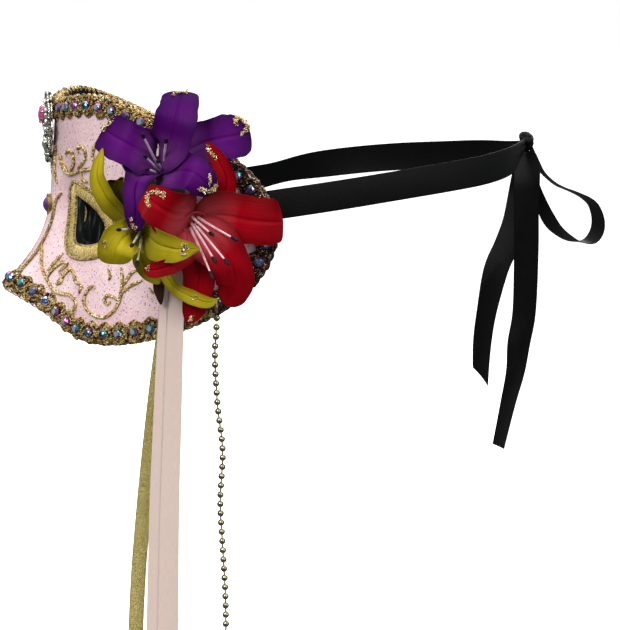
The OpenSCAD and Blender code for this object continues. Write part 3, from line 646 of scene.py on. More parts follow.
def lame_look():
    """Woven metallic mesh ribbon."""
    k = Look("gold_lame_mesh", rough=0.32, metal=0.45)
    uv = k.at("UV")
    a = k.calc("SINE", k.calc("MULTIPLY", k.part(uv, "X"), 2 * math.pi / 0.8))
    b = k.calc("SINE", k.calc("MULTIPLY", k.part(uv, "Y"), 2 * math.pi * 8))
    knot = k.calc("MULTIPLY", a, b)
    broken = k.noise(2400, detail=3)
    fac = k.calc("ADD", k.calc("MULTIPLY", knot, 0.20), k.range(broken, 0.3, 0.7, 0.1, 0.9))
    col = k.ramp(fac, [(0.0, (0.20, 0.14, 0.02)), (0.3, (0.44, 0.34, 0.06)), (0.55, (0.66, 0.54, 0.15)),
                       (0.85, (1.0, 0.92, 0.48))])
    edge = k.calc("ABSOLUTE", k.calc("SUBTRACT", k.calc("MULTIPLY", k.part(uv, "Y"), 2.0), 1.0))
    k.put("Base Color", k.mix(k.range(edge, 0.80, 0.97, 0.0, 0.75), col, (0.24, 0.16, 0.04)))
    k.bump(k.calc("ADD", knot, k.calc("MULTIPLY", broken, 1.5)), 0.00022, 0.9)
    return k.m


def felt_look(name, low, high):
    k = Look(name, rough=0.9)
    k.put("Base Color", k.mix(k.noise(700, detail=5), low, high))
    k.put("Sheen Weight", 0.4)
    k.bump(k.noise(1800, detail=3), 0.0004, 0.8)
    return k.m


def wax_look(name, low, high, rough=0.45):
    """Moulded filaments and stems."""
    k = Look(name, rough=rough)
    k.put("Base Color", k.mix(k.range(k.noise(260, detail=3), 0.35, 0.65), low, high))
    k.put("Specular IOR Level", 0.15)
    k.bump(k.noise(1400, detail=2), 0.0001, 0.5)
    return k.m


# ---------------------------------------------------------------- camera
AZ, EL = math.radians(81), math.radians(4.5)
right = Vector((math.cos(AZ), math.sin(AZ), 0))
toward = Vector((math.sin(AZ) * math.cos(EL), -math.cos(AZ) * math.cos(EL), math.sin(EL)))
head_middle = Vector((0, HEAD_FRONT * MM, 0))
eye = head_middle + toward * 1.5
# the middle of the view is below and behind the middle of the head
aim = head_middle + right * 0.01155 - toward.cross(right) * 0.0495
back = (eye - aim).normalized()
sideways = Vector((0, 0, 1)).cross(back).normalized()
camera_data = bpy.data.cameras.new("camera")
camera_data.sensor_fit = "HORIZONTAL"
camera_data.sensor_width = 36.0
camera_data.lens = 207.3
camera_data.clip_start = 0.05
camera_data.clip_end = 40.0
camera = bpy.data.objects.new("camera", camera_data)
bpy.context.scene.collection.objects.link(camera)
turned = Matrix((sideways, back.cross(sideways), back)).transposed().to_4x4()
camera.matrix_world = Matrix.Translation(eye) @ turned
bpy.context.scene.camera = camera

# ---------------------------------------------------------------- hanging ribbons and chain
PINK_ROUTE = [[74.2, 41, -14, 24, 8], [74.2, 40, -25, 27, 10], [74.2, 38.8, -36, 28, 10.5],
              [74.2, 37.8, -55, 27, 10.8], [74.2, 36.6, -85, 23, 11.4], [74.2, 35.4, -115, 19, 12],
              [74.2, 34.6, -150, 15, 12.6], [74.2, 34, -185, 12, 13], [74.2, 34.5, -220, 12, 13],
              [74.2, 36, -256, 12, 13]]
GOLD_ROUTE = [[69.3, 39, -16, 18, 5], [69.3, 38, -30, 18, 6], [69.3, 36, -48, 18, 6],
              [69.3, 33, -70, 16, 6], [69.3, 29.5, -100, 12, 6], [69.3, 27, -125, 10, 6],
              [69.3, 25, -150, 8, 6], [69.3, 23.5, -185, 8, 6], [69.3, 23.5, -215, 8, 6],
              [69.3, 25, -248, 8, 6]]
LONG_ROUTE = [[2.1, 199.2, 18.2, 40, 7], [4, 199.2, 13.5, 38, 11], [7, 198.6, 6, 40, 12],
              [7, 198.3, -4, 42, 12], [7, 198.4, -23, 44, 12], [7, 197.7, -49, 50, 12],
              [7, 195.4, -63, 52, 12], [7, 194, -75, 63, 12], [7, 191, -88, 71, 12],
              [7, 186.8, -107, 77, 12]]
SHORT_ROUTE = [[-2.6, 199.8, 18.2, 70, 4.5], [-4.1, 199.7, 15, 65, 6.5], [-7, 199.8, 9, 52, 10],
               [-8.8, 199.6, 1, 44, 12], [-8.8, 197.2, -12, 40, 12], [-8.8, 193.6, -22, 40, 12],
               [-8.8, 188.8, -33, 43, 12], [-8.8, 185, -50, 59, 12], [-8.8, 183, -64, 63, 12],
               [-8.8, 182.3, -79, 69, 12]]
LOOP_ROUTE = [[0.3, 201.3, 20.5, 82, 5], [0.2, 203.6, 15.5, 84, 6], [1.8, 206, 10, 88, 9],
              [3.2, 209.6, 6, 90, 12], [3.2, 213.7, 3.3, 84, 12], [3.2, 218, 1.6, 80, 12],
              [3.2, 221.7, 0, 79, 12], [3.2, 225.4, -2, 77, 12], [3.2, 228.5, -5, 79, 12],
              [3.2, 230.5, -11, 77, 12], [3.2, 229.8, -16.6, 75, 12], [3.2, 226.2, -20.3, 72, 12],
              [3.2, 219.7, -19.8, 68, 12], [3.2, 212.4, -15, 67, 12], [3.2, 208, -8.7, 70, 12],
              [3.2, 205, -1, 78, 10], [2.5, 203.8, 4, 84, 7.5], [1.3, 202.8, 10, 84, 5.5],
              [0.3, 201.5, 18, 84, 5]]
CHAIN_ROUTE = [[79, 56, -41.5], [80.3, 55.6, -47], [80.5, 55, -57], [80.5, 56, -76],
               [80.5, 58, -95], [80.5, 57, -115], [80.5, 58, -135], [80.5, 59, -155],
               [80.5, 59, -180], [80.5, 58, -210], [80.5, 58, -255]]


def ribbon(route, cols=14, thick=0.32, crown=0.0, step_at=None, wave=0.0, cut=0.0, step_mm=2.0):
    """Ribbon along a route of places, turns and widths; returns the shape and its middle line."""
    line = resample(catmull(route, 14), step_mm)
    mid, turn, width = line[:, :3], np.radians(line[:, 3]), line[:, 4]
    t = unit(np.gradient(mid, axis=0))
    side = np.stack([np.sin(turn), np.cos(turn), 0 * turn], -1)
    b = unit(side - t * np.sum(side * t, -1, keepdims=True))
    n = np.cross(t, b)
    s = arc(mid)
    x = np.linspace(-1, 1, cols)
    off = crown * (1 - x[None] ** 2) + wave * np.sin(s[:, None] / 21.0 + 1.7 * x[None]) * (0.3 + 0.7 * np.minimum(1, s[:, None] / 60))
    if step_at is not None:
        off = off + np.where(x[None] < step_at, 0.45, 0.0)
    p = mid[:, None] + b[:, None] * (x[None, :, None] * width[:, None, None] / 2) + n[:, None] * off[..., None]
    if cut:
        p[-1] += t[-1] * (x[:, None] * cut)
        p[-2] += t[-2] * (x[:, None] * cut * 0.5)
    nn = np.broadcast_to(n[:, None], p.shape)
    shape = Shape()
    shape.solid_sheet(p, nn, thick, s, (x + 1) / 2)
    return shape, mid, s[-1]


pink_satin = satin_look("pink_satin", (0.74, 0.60, 0.53), (0.64, 0.49, 0.43), 0.42, line=0.345,
                        line_color=(0.52, 0.36, 0.33))
black_satin = satin_look("black_satin", (0.0045, 0.005, 0.0045), (0.0015, 0.002, 0.0015), 0.45, sheen=0.0,
                         specular=0.1)
gold_lame = lame_look()


def hang(name, route, material, slot, body, node, width, **more):
    shape, mid, length = ribbon(route, **more)
    obj = shape.make(name, material, body, slot, node, crease=35)
    return obj


hang("pink_streamer_ribbon", PINK_ROUTE, pink_satin, "pink_satin", "pink_streamer", "pink_ribbon", 13,
     step_at=-0.31, wave=0.25, cols=20)
hang("gold_streamer_ribbon", GOLD_ROUTE, gold_lame, "gold_lame", "gold_streamer", "gold_ribbon", 6,
     crown=0.3, wave=0.2, cols=10)
hang("long_tail_ribbon", LONG_ROUTE, black_satin, "black_satin", "long_tail", "tail_long", 12,
     crown=-0.4, wave=0.15)
hang("short_tail_ribbon", SHORT_ROUTE, black_satin, "black_satin", "short_tail", "tail_short", 12,
     crown=-0.4, wave=0.15, cut=3.2)

# Ball chain: hollow balls on short pins
chain_metal = metal_look("antique_brass_balls", (0.20, 0.17, 0.09), (0.50, 0.45, 0.29), 0.14)
chain_line = catmull(CHAIN_ROUTE, 30)
chain_line = resample(chain_line, 0.5)
chain_len = arc(chain_line)[-1]
BALL_PITCH = 3.72
count = int(chain_len // BALL_PITCH)
chain = Shape()
for q in resample(chain_line, chain_len / count):
    chain.ball(q, (1.36, 1.36, 1.36), seg=16, rows=11)
chain.tube(resample(chain_line, 1.2), 0.34, 6)
chain_obj = chain.make("ball_chain_beads", chain_metal, "chain", "ball_chain_metal", "ball_chain", crease=0)
(resample(chain_line, 2.0) * MM).tolist()

# ---------------------------------------------------------------- ties, knot and bow
SATIN_W = 12.0
KNOT_REACH = 4.0
RIGHT_LEAN, LEAN_AT, LEAN_SPREAD = 34, 98, 13
LEFT_TIE = [[69, 1], [82, 3.5], [96, 6], [118, 9.8], [134, 12.2], [146, 13.8], [155, 15.3],
            [163, 16.8], [171, 18.8], [178, 21]]
RIGHT_TIE = [[69, -3], [92, 3.3], [105, 7.2], [121, 10.3], [136, 12.5], [152, 14.2],
             [166, 16.3], [178, 19.5]]


def tie(side, route, name):
    """Tie laid round the head behind the mask, folded narrower where it enters the knot."""
    a, z = catmull(route, 12).T
    mid = face(side * a, z, KNOT_REACH * bell(a - 180, 6) - 0.85)
    mid, az = resample(mid, 2.0, np.stack([a, z], -1))
    a = az[:, 0]
    t = unit(np.gradient(mid, axis=0))
    up = unit(np.array([0, 0, 1.0]) - t * t[:, 2:])
    out = np.cross(t, up) * side
    lean = np.radians(RIGHT_LEAN * bell(a - LEAN_AT, LEAN_SPREAD) * (side < 0))[:, None]
    b, c = up * np.cos(lean) - out * np.sin(lean), out * np.cos(lean) + up * np.sin(lean)
    half = SATIN_W / 2 * (1 - 0.5 * bell(a - 180, 12))
    x = np.linspace(-1, 1, 13)
    s = arc(mid)
    twist = 0.35 * np.sin(s / 23.0) * np.clip((s - 20) / 60, 0, 1)
    folds = 0.3 * bell(a - 180, 9)[:, None] * np.cos(9 * x[None])
    off = 0.35 * (1 - x[None] ** 2) + twist[:, None] * x[None] + folds
    p = mid[:, None] + b[:, None] * (x[None, :, None] * half[:, None, None]) + c[:, None] * off[..., None]
    shape = Shape()
    shape.solid_sheet(p, np.broadcast_to(c[:, None], p.shape), 0.32, s, (x + 1) / 2)
    obj = shape.make("tie_ribbon_satin_" + name, black_satin, "root", "black_satin", "tie_ribbon_" + name, crease=35)
    return obj


tie(1, LEFT_TIE, "left")
tie(-1, RIGHT_TIE, "right")
loop_shape, loop_mid, loop_len = ribbon(LOOP_ROUTE, crown=0.0, step_mm=1.5)
bow = loop_shape.make("bow_loop_satin", black_satin, "root", "black_satin", "bow_loop", crease=35)

# The knot is a ribbon wrapped twice round the crossing, with creases
low, high = box_mm("ribbon_knot")
centre, half = (low + high) / 2, (high - low) / 2 * np.array([1.0, 0.68, 1.0])
knot = Shape()
lat = np.linspace(-1.45, 1.45, 30)
lon = np.arange(40) * 2 * np.pi / 40
grid = []
for t in lat:
    c, s = np.cos(t) ** 0.75, np.sin(t)
    crease = 1 + 0.05 * np.cos(3 * lon + 5 * t) + 0.04 * np.cos(9 * t + 2 * lon)
    grid.append(np.stack([half[0] * c * np.cos(lon) * crease, half[1] * c * np.sin(lon) * crease,
                          half[2] * s + 0 * lon], -1) + centre)
grid = np.array(grid)
knot.grid(grid, np.linspace(0, 9, 30), np.arange(41) / 40, False, True)
knot.f.append(list(range(40))[::-1])
knot.f.append([29 * 40 + x for x in range(40)])
knot.uv.extend([(0.0, 0.0)] * 80)
knot.tint.extend([(1, 1, 1)] * 80)
knot.flat.extend([False, False])
for tilt, lift in ((0.35, -1.2), (-0.25, 1.6)):
    ring = np.arange(36) * 2 * np.pi / 36
    path = centre + np.stack([half[0] * 0.98 * np.cos(ring), half[1] * 0.98 * np.sin(ring),
                              lift + tilt * half[0] * np.cos(ring)], -1)
    knot.tube(path, 0.8, 8, np.tile([0, 0, 1.0], (36, 1)), close=True, squash=1.6)
knot.make("tie_knot_satin", black_satin, "root", "black_satin", "ribbon_knot")

# ---------------------------------------------------------------- shell and lining
EYE = np.array([[13.5, 3.6], [17, 2.2], [20.5, 0.2], [24, -3], [26.8, -7.5], [27, -11.5],
                [25, -14.6], [22, -15.8], [18.5, -16.2], [15, -15.3], [13, -11], [12.5, -5],
                [12.6, 0]])


def mask_grid(out, cols, rows):
    s, t = np.meshgrid(np.linspace(-1, 1, cols + 1), np.linspace(-1, 1, rows + 1))
    a, z = outline_at(s * np.sqrt(1 - t * t / 2), t * np.sqrt(1 - s * s / 2))
    return face(a, z, out)


def eye_block(side, grow):
    ring = grow_ring(catmull(EYE, 8, True), grow)
    shape = Shape()
    shape.grid(np.stack([face(side * ring[:, 0], ring[:, 1], o) for o in (SKIN + 6, -6)]),
               [0, 1], np.arange(len(ring) + 1), False, True)
    n = len(ring)
    shape.f += [list(range(n))[::-1], list(range(n, 2 * n))]
    shape.uv += [(0.0, 0.0)] * (2 * n)
    shape.tint += [(1, 1, 1)] * (2 * n)
    shape.flat += [False, False]
    return shape


def walled(name, outer, inner, material, slot, node, hole=0.0, wall=None):
    cols, rows = 130, 60
    top, low_face = mask_grid(outer, cols, rows), mask_grid(inner, cols, rows)
    shape = Shape()
    shape.solid_sheet((top + low_face) / 2, unit(top - low_face),
                      np.linalg.norm(top - low_face, axis=-1), np.arange(rows + 1), np.arange(cols + 1))
    obj = shape.make(name, material, "root", slot, node, crease=40)
    if wall:
        obj.data.materials.append(wall)
    for side in (1, -1):
        cutter = eye_block(side, hole).make("cutter", material, "root", slot)
        if wall:
            cutter.data.materials.append(wall)
            for face_of_cutter in cutter.data.polygons:
                face_of_cutter.material_index = 1
        cut = obj.modifiers.new("eye", "BOOLEAN")
        cut.operation = "DIFFERENCE"
        cut.solver = "EXACT"
        cut.object = cutter
        freeze(obj)
        bpy.data.objects.remove(cutter)
    obj.data.set_sharp_from_angle(angle=math.radians(40))
    return obj


felt = black_lining()
walled("shell_lacquered", SKIN, LINING_T, pink_lacquer(), "pink_lacquer", "mask_shell", wall=felt)
walled("lining_felt", LINING_T - 0.02, 0.0, felt, "black_felt", "lining", hole=-1.0)

# ---------------------------------------------------------------- eye bands and cords
gold_cord = glitter_gold("twisted_gold_cord", (0.16, 0.08, 0.02), (0.76, 0.54, 0.19), (1.0, 0.93, 0.62),
                         size=1800, metal=0.25, twist=1.3)
gold_relief = glitter_gold("gold_glitter_relief", (0.15, 0.075, 0.015), (0.68, 0.47, 0.15), (1.0, 0.94, 0.62),
                           size=1700, metal=0.22, rough=0.3, lump=900)
band_look = band_gold()


def eye_band(side):
    ring = catmull(EYE, 40, True)
    keep = np.linspace(0, len(ring), 480, endpoint=False).astype(int)
    profile = [(0.0, -0.25), (0.0, 0.35), (0.7, 0.75), (1.6, 1.0), (2.5, 1.05), (3.4, 0.95), (4.3, 0.65),
               (5.0, 0.3), (5.0, -0.25)]
    centre_line = grow_ring(ring, 2.5)[keep]
    s = arc(on_shell(side * centre_line[:, 0], centre_line[:, 1], 0.0 * centre_line[:, 0]))
    ribs = round(s[-1] / 1.05)
    wave = np.cos(np.arange(len(keep)) * 2 * np.pi * ribs / len(keep))
    ragged = 0.16 * wave + 0.14 * np.sin(s / 1.9) + 0.1 * np.sin(s / 0.83 + 1)
    rows = []
    for off, h in profile:
        r = grow_ring(ring, off)[keep]
        if off > 4:
            out = grow_ring(ring, off + 1)[keep] - r
            r = r + out * ragged[:, None]
        lift = h + (0.24 * wave if 0 < off < 5 else 0.0 * wave)
        rows.append(on_shell(side * r[:, 0], r[:, 1], lift))
    p = np.stack(rows, 1)
    shape = Shape()
    shape.grid(p, np.append(s, s[-1] + 0.2), np.arange(len(profile) + 1) / len(profile), True, True)
    name = "left" if side > 0 else "right"
    shape.make("eye_band_thread_" + name, band_look, "root", "gold_band", "eye_band_" + name, crease=0)


def shell_rope(shape, line, width, pitch, close=False, taper=0.4, lift=0.0):
    line = np.asarray(line)
    n = face_normal(line[:, 0], line[:, 1])
    pts = on_shell(line[:, 0], line[:, 1], np.full(len(line), width / 2 - 0.3 + lift))
    shape.rope(pts, width, pitch, refs=n, close=close, taper=taper)


for side, name in ((1, "left"), (-1, "right")):
    eye_band(side)
    ring = grow_ring(catmull(EYE, 20, True), 5.6) * [side, 1]
    shape = Shape()
    shell_rope(shape, ring, 1.7, 2.4, close=True)
    inner = grow_ring(catmull(EYE, 20, True), 0.35) * [side, 1]
    shell_rope(shape, inner, 1.0, 1.7, close=True, lift=0.35)
    shape.make("eye_cord_" + name, gold_cord, "root", "gold_cord", "eye_piping_" + name, crease=0)

NOSE_LINE = [[5.6, 4], [3.6, 0], [3.4, -9], [3.2, -18], [2.9, -23], [2.4, -27], [2, -31]]
FOREHEAD = [
    [[3.6, 24], [3.4, 18], [3.2, 13], [4, 7.5]],
    [[10, 13], [7.5, 16.5], [7, 19.2], [5.6, 20]],
    [[11.5, 13], [14.3, 17], [14.6, 20.7], [12.2, 22], [10, 20]],
    [[16.3, 15], [20, 19], [20.5, 22.6], [19, 24.3], [17, 23], [17.7, 21.5]],
    [[6, 18.5], [8, 13.6], [11, 12.2], [17, 14.2], [22, 15.3], [24, 14.5]],
    [[24, 16.6], [23.5, 20.8], [24.3, 24.3], [26, 27.6]],
    [[17, 13.8], [18, 10.4], [20, 9.9]]]
CHEEK = [
    [[3.5, -18], [5, -22], [7, -27], [10, -32], [12, -35], [14.6, -36.5], [18, -36.5],
     [21, -39], [20.5, -42], [18, -43.5]],
    [[8.7, -28], [9.6, -24.5], [11, -20.5]],
    [[9.5, -31], [10, -27.3], [12, -24.2], [14.4, -24.6], [12.2, -27.7]],
    [[12.2, -27.7], [14.2, -31], [12.8, -32.6], [15.9, -26.5], [18.5, -28.3],
     [19.7, -31], [22, -32], [21.8, -35.6]],
    [[27.2, -32.8], [26.5, -31.8], [24.8, -33.8], [24, -37.4], [25, -40.8], [27.5, -43.3],
     [31, -44], [33.6, -42], [35.5, -37.5], [36, -32.6], [35.7, -27.8], [34.8, -23.7]],
    [[35.5, -37.5], [34.3, -36], [32, -35], [31, -37], [32, -38.6], [33, -37.4]],
    [[36, -34], [38, -31], [42, -28]],
    [[36.5, -30.5], [38, -26], [40, -24]],
    [[44, -31], [45.3, -32.6], [46.5, -31.5]],
    [[30.6, -24.4], [31.8, -27.4], [31.4, -29]]]

shape = Shape()
for side in (1, -1):
    shell_rope(shape, catmull(NOSE_LINE, 20) * [side, 1], 1.6, 2.3)
shape.make("nose_cord", gold_cord, "root", "gold_cord", "nose_piping", crease=0)
for lines, part in ((FOREHEAD, "forehead_scroll_"), (CHEEK, "cheek_scroll_")):
    for side, name in ((1, "left"), (-1, "right")):
        shape = Shape()
        for line in lines:
            shell_rope(shape, catmull(line, 16) * [side, 1], 1.65, 2.3, taper=0.5)
        shape.make(part + "relief_" + name, gold_relief, "root", "gold_relief", part + name, crease=0)

# ---------------------------------------------------------------- braid and stones
turns = np.arange(-60, 320.01, 0.5)
braid_a, braid_z = edge_in(turns, BRAID_INSET)
braid_len = arc(face(braid_a, braid_z, SKIN))


def braid_s(turn):
    return float(np.interp(turn, turns, braid_len))


def braid_frame(s):
    """Middle, side and normal of the braid at lengths along its middle line."""
    turn = np.interp(s, braid_len, turns)
    a, z = edge_in(turn, BRAID_INSET)
    a2, z2 = edge_in(turn, BRAID_INSET - 1)
    mid = face(a, z, SKIN)
    side = unit(face(a2, z2, SKIN) - mid)
    n = face_normal(a, z)
    return mid, unit(side - n * np.sum(side * n, -1, keepdims=True)), n


gimp = glitter_gold("gimp_braid", (0.020, 0.007, 0.002), (0.68, 0.42, 0.11), (1.0, 0.92, 0.55), size=1300,
                    metal=0.45, rough=0.3, twist=1.6)
# darker copy of the gimp braid colour for the side stretches, standing for the braid in shade: painted shade
gimp_in_painted_shade = glitter_gold("gimp_braid_painted_shade", (0.008, 0.003, 0.002), (0.060, 0.018, 0.011), (0.72, 0.44, 0.22),
                         size=1500, metal=0.5, rough=0.36, twist=1.6)
STONE_TINTS = [(0.01, 0.24, 0.30), (0.02, 0.36, 0.36), (0.40, 0.02, 0.24), (0.14, 0.03, 0.36), (0.03, 0.08, 0.36),
               (0.58, 0.06, 0.34), (0.05, 0.38, 0.20), (0.95, 0.96, 1.0), (0.02, 0.015, 0.04), (0.03, 0.02, 0.05)]


def braid(name, start, end, material, slot, node):
    s0, s1 = braid_s(start) + 0.3, braid_s(end) - 0.3
    count = int((braid_s(end) - braid_s(start)) // STONE_PITCH)
    pitch = (braid_s(end) - braid_s(start)) / count
    s = np.linspace(s0, s1, count * 24 + 1)
    mid, side, n = braid_frame(s)
    x = (s - braid_s(start)) / pitch
    shape = Shape()
    base = np.linspace(-2.9, 2.9, 5)
    p = mid[:, None] + side[:, None] * base[None, :, None] + n[:, None] * 0.3
    shape.solid_sheet(p, np.broadcast_to(n[:, None], p.shape), 0.9, s - s0, (base + 2.9) / 5.8)
    wave = np.sin(np.pi * x)
    for c in (1, -1):
        across = c * 3.0 * np.sign(wave) * np.abs(wave) ** 0.55
        h = 1.05 + 0.5 * c * np.cos(np.pi * x)
        path = mid + side * across[:, None] + n * h[:, None]
        t = unit(np.gradient(path, axis=0))
        b = unit(np.cross(n, t))
        for j in (-1, 1):
            shape.rope(path + b * (j * 0.72), 1.45, 2.3, refs=n, step=8, sides=6)
    # small coils at both sides of each stone
    coil = np.arange(14) * 2 * np.pi / 14
    for k in range(count):
        for c in (1, -1):
            place, out_way, up = [q[0] for q in braid_frame([braid_s(start) + (k + 0.5) * pitch])]
            on = np.cross(up, out_way)
            tilt = unit(up + out_way * 0.5 * c)
            flat = np.cross(on, tilt)
            centre = place + out_way * 3.5 * c + up * 0.8
            loop = centre + 0.95 * (np.cos(coil)[:, None] * on * 1.3 + np.sin(coil)[:, None] * flat)
            shape.tube(loop, 0.62 * (1 + 0.14 * np.cos(7 * coil)), 7, np.tile(tilt, (14, 1)), close=True)
    # cord that wraps the edge of the shell
    a, z = edge_in(np.interp(s, braid_len, turns), 0.4)
    shape.rope(face(a, z, SKIN / 2), 3.5, pitch, refs=n, step=12, sides=8)
    shape.make(name, material, "root", slot, node, crease=0)


def stones(name, start, end, node, keep_out=0.0):
    s0, s1 = braid_s(start), braid_s(end)
    count = int((s1 - s0) // STONE_PITCH)
    s = s0 + (np.arange(count) + 0.5) * (s1 - s0) / count
    mid, side, n = braid_frame(s)
    angle = edge_in(np.interp(s, braid_len, turns), BRAID_INSET)[0]
    shape = Shape()
    for k in range(count):
        if abs(angle[k]) <= keep_out:
            continue
        x, y, up = side[k], np.cross(n[k], side[k]), n[k]
        turn = rng.uniform(0, 1)
        rings = []
        for r, h, off in ((1.95, 1.4, 0), (2.1, 2.15, 0), (1.65, 2.8, 0.5), (1.05, 3.2, 0)):
            g = (np.arange(8) + off + turn) * np.pi / 4
            rings.append(mid[k] + up * h + r * (np.cos(g)[:, None] * x + np.sin(g)[:, None] * y))
        v = np.concatenate(rings)
        pick = lambda: STONE_TINTS[int(rng.integers(len(STONE_TINTS)))]
        main = pick()
        for row in range(3):
            for q in range(8):
                a, b = row * 8 + q, row * 8 + (q + 1) % 8
                c, d = a + 8, b + 8
                f = ([[a, b, d, c]], [[a, b, c], [b, d, c]], [[a, b, d], [a, d, c]])[row]
                for one in f:
                    tone = pick() if rng.uniform() < 0.6 else main
                    shape.raw(v[one], [list(range(len(one)))], tint=tone, smooth=False)
        # half the table facets get a pale blue-white tint, a painted reflection of light on the flat top
        shape.raw(v[24:], [list(range(8))], tint=pick() if rng.uniform() < 0.5 else (0.75, 0.8, 0.88), smooth=False)
        shape.raw(v[:8], [list(range(8))[::-1]], tint=(0.05, 0.05, 0.06), smooth=False)
    return shape.make(name, stone_material, "root", "rhinestone", node, crease=0)


stone_material = stone_look()
C = BRAID_CORNER
braid("braid_gimp_top", -C, C, gimp, "gimp_braid", "braid_top")
braid("braid_gimp_bottom", 180 - C, 180 + C, gimp, "gimp_braid", "braid_bottom")
# the side stretches take the darker copy of the braid colour: painted shade
braid("braid_gimp_side_left", C, 180 - C, gimp_in_painted_shade, "gimp_braid", "braid_side_left")
braid("braid_gimp_side_right", 180 + C, 360 - C, gimp_in_painted_shade, "gimp_braid", "braid_side_right")
stones("rhinestones_top", -C, C, "stones_top", 7.0)
stones("rhinestones_bottom", 180 - C, 180 + C, "stones_bottom")
stones("rhinestones_side_left", C, 180 - C, "stones_side_left")
stones("rhinestones_side_right", 180 + C, 360 - C, "stones_side_right")

# ---------------------------------------------------------------- brooch and bridge gem
silver = silver_look()
low, high = box_mm("brooch_filigree")
bx, bz = (low[0] + high[0]) / 2, (low[2] + high[2]) / 2
half_w, half_h = (high[0] - low[0]) / 2, (high[2] - low[2]) / 2
by = -3.0
gem_low, gem_high = box_mm("brooch_gem")
gem_z = (gem_low[2] + gem_high[2]) / 2
shape = Shape()
ring = np.arange(48) * 2 * np.pi / 48


def oval(x, y, z, rx, rz, r, rope=False, tilt=0.0):
    c, s = np.cos(ring), np.sin(ring)
    p = np.stack([x + rx * c * math.cos(tilt) - rz * s * math.sin(tilt), y + 0 * c,
                  z + rx * c * math.sin(tilt) + rz * s * math.cos(tilt)], -1)
    if rope:
        shape.rope(p, 2 * r, 1.6, refs=np.tile([0, -1.0, 0], (48, 1)), close=True, sides=6)
    else:
        shape.tube(p, r, 8, np.tile([0, -1.0, 0], (48, 1)), close=True)


LOOPS = 10
for k in range(LOOPS):
    g = 2 * math.pi * k / LOOPS
    x, z = bx + (half_w - 3.5) * math.cos(g), bz + (half_h - 3.5) * math.sin(g)
    oval(x, by - 0.8, z, 2.9, 2.9, 0.55, rope=True)
    oval(x, by + 0.35, z, 2.8, 2.8, 0.6)
    oval(x, by - 1.0, z, 1.7, 1.7, 0.3)
    shape.ball((x, by - 1.2, z), (0.8, 0.8, 0.8))
    g2 = g + math.pi / LOOPS
    shape.ball((bx + (half_w - 1.8) * math.cos(g2), by - 0.9, bz + (half_h - 1.8) * math.sin(g2)), (0.7, 0.7, 0.7))
oval(bx, by - 0.9, bz, half_w - 6.6, half_h - 6.6, 0.7, rope=True)
oval(bx, by + 0.4, bz, half_w - 5.5, half_h - 5.5, 0.7)
for k in range(26):
    g = 2 * math.pi * k / 26
    shape.ball((bx + (half_w - 7.9) * math.cos(g), by - 1.2, bz + (half_h - 8.0) * math.sin(g)), (0.5, 0.5, 0.5), 10, 7)
# plate behind the stones, ring of the gem with claws
shape.ball((bx, by - 0.2, bz), (half_w - 6.6, half_h - 6.6, 1.0), 32, 8,
           axes=[[1, 0, 0], [0, 0, 1], [0, -1, 0]])
oval(bx, by - 1.9, gem_z, 3.5, 4.1, 0.5, rope=True)
oval(bx, by - 1.4, gem_z, 4.1, 4.7, 0.5)
for k in range(8):
    g = 2 * math.pi * (k + 0.5) / 8
    claw = np.array([[bx + 3.6 * math.cos(g), by - 1.4, gem_z + 4.2 * math.sin(g)],
                     [bx + 3.3 * math.cos(g), by - 2.8, gem_z + 3.9 * math.sin(g)],
                     [bx + 2.5 * math.cos(g), by - 3.9, gem_z + 3.0 * math.sin(g)]])
    shape.tube(catmull(claw, 4), 0.34, 6)
    g = 2 * math.pi * (k + 0.5) / 8
    oval(bx + 6.1 * math.cos(g), by - 1.5, gem_z + 6.1 * math.sin(g), 1.15, 1.15, 0.25)
for side in (1, -1):
    swirl = [(bx + side * 0.8, bz - 9.5), (bx + side * 3.6, bz - 8.6), (bx + side * 4.3, bz - 5.6),
             (bx + side * 2.6, bz - 4.2), (bx + side * 1.6, bz - 5.6), (bx + side * 2.6, bz - 6.4)]
    pts = catmull([[x, by - 1.6, z] for x, z in swirl], 8)
    shape.tube(pts, np.linspace(0.55, 0.3, len(pts)), 7, np.tile([0, -1.0, 0], (len(pts), 1)))
shape.ball((bx, by - 1.6, bz - 7.0), (1.4, 1.4, 1.9))
shape.make("brooch_silverwork", silver, "root", "antique_silver", "brooch_filigree", crease=60)

shape = Shape()
gem_half = (gem_high - gem_low) / 2
for lat0, lat1 in ((-90, 90),):
    rows = []
    for la in (-60, -25, 0, 22, 45, 68, 86):
        g = (np.arange(12) + (0.5 if la in (0, 45, 86) else 0)) * np.pi / 6
        c = math.cos(math.radians(la))
        rows.append(np.stack([bx + gem_half[0] * c * np.cos(g), (gem_low[1] + gem_high[1]) / 2
                              - gem_half[1] * 1.15 * math.sin(math.radians(la)) + 0 * g,
                              gem_z + gem_half[2] * c * np.sin(g)], -1))
    p = np.stack(rows)
    shape.grid(p, np.arange(len(rows)), np.arange(13) / 12, False, True, smooth=False)
    shape.f += [list(range(12))[::-1], [(len(rows) - 1) * 12 + x for x in range(12)]]
    shape.uv += [(0.0, 0.0)] * 24
    shape.tint += [(1, 1, 1)] * 24
    shape.flat += [True, True]
shape.make("brooch_oval_gem", gem_look("magenta_glass", (0.42, 0.01, 0.14), (0.75, 0.05, 0.32)), "root",
           "magenta_gem", "brooch_gem", crease=0)
shape = Shape()
for k in range(8):
    g = 2 * math.pi * (k + 0.5) / 8
    shape.ball((bx + 6.1 * math.cos(g), by - 1.5, gem_z + 6.1 * math.sin(g)), (0.98, 0.98, 0.9), 8, 5,
               axes=[[1, 0, 0], [0, 0, 1], [0, -1, 0]], low=-30)
shape.flat = [True] * len(shape.flat)
shape.make("brooch_crystal_chips", gem_look("clear_crystal", (0.72, 0.75, 0.80), (0.95, 0.96, 0.98)), "root",
           "clear_crystal", "brooch_crystals", crease=0)

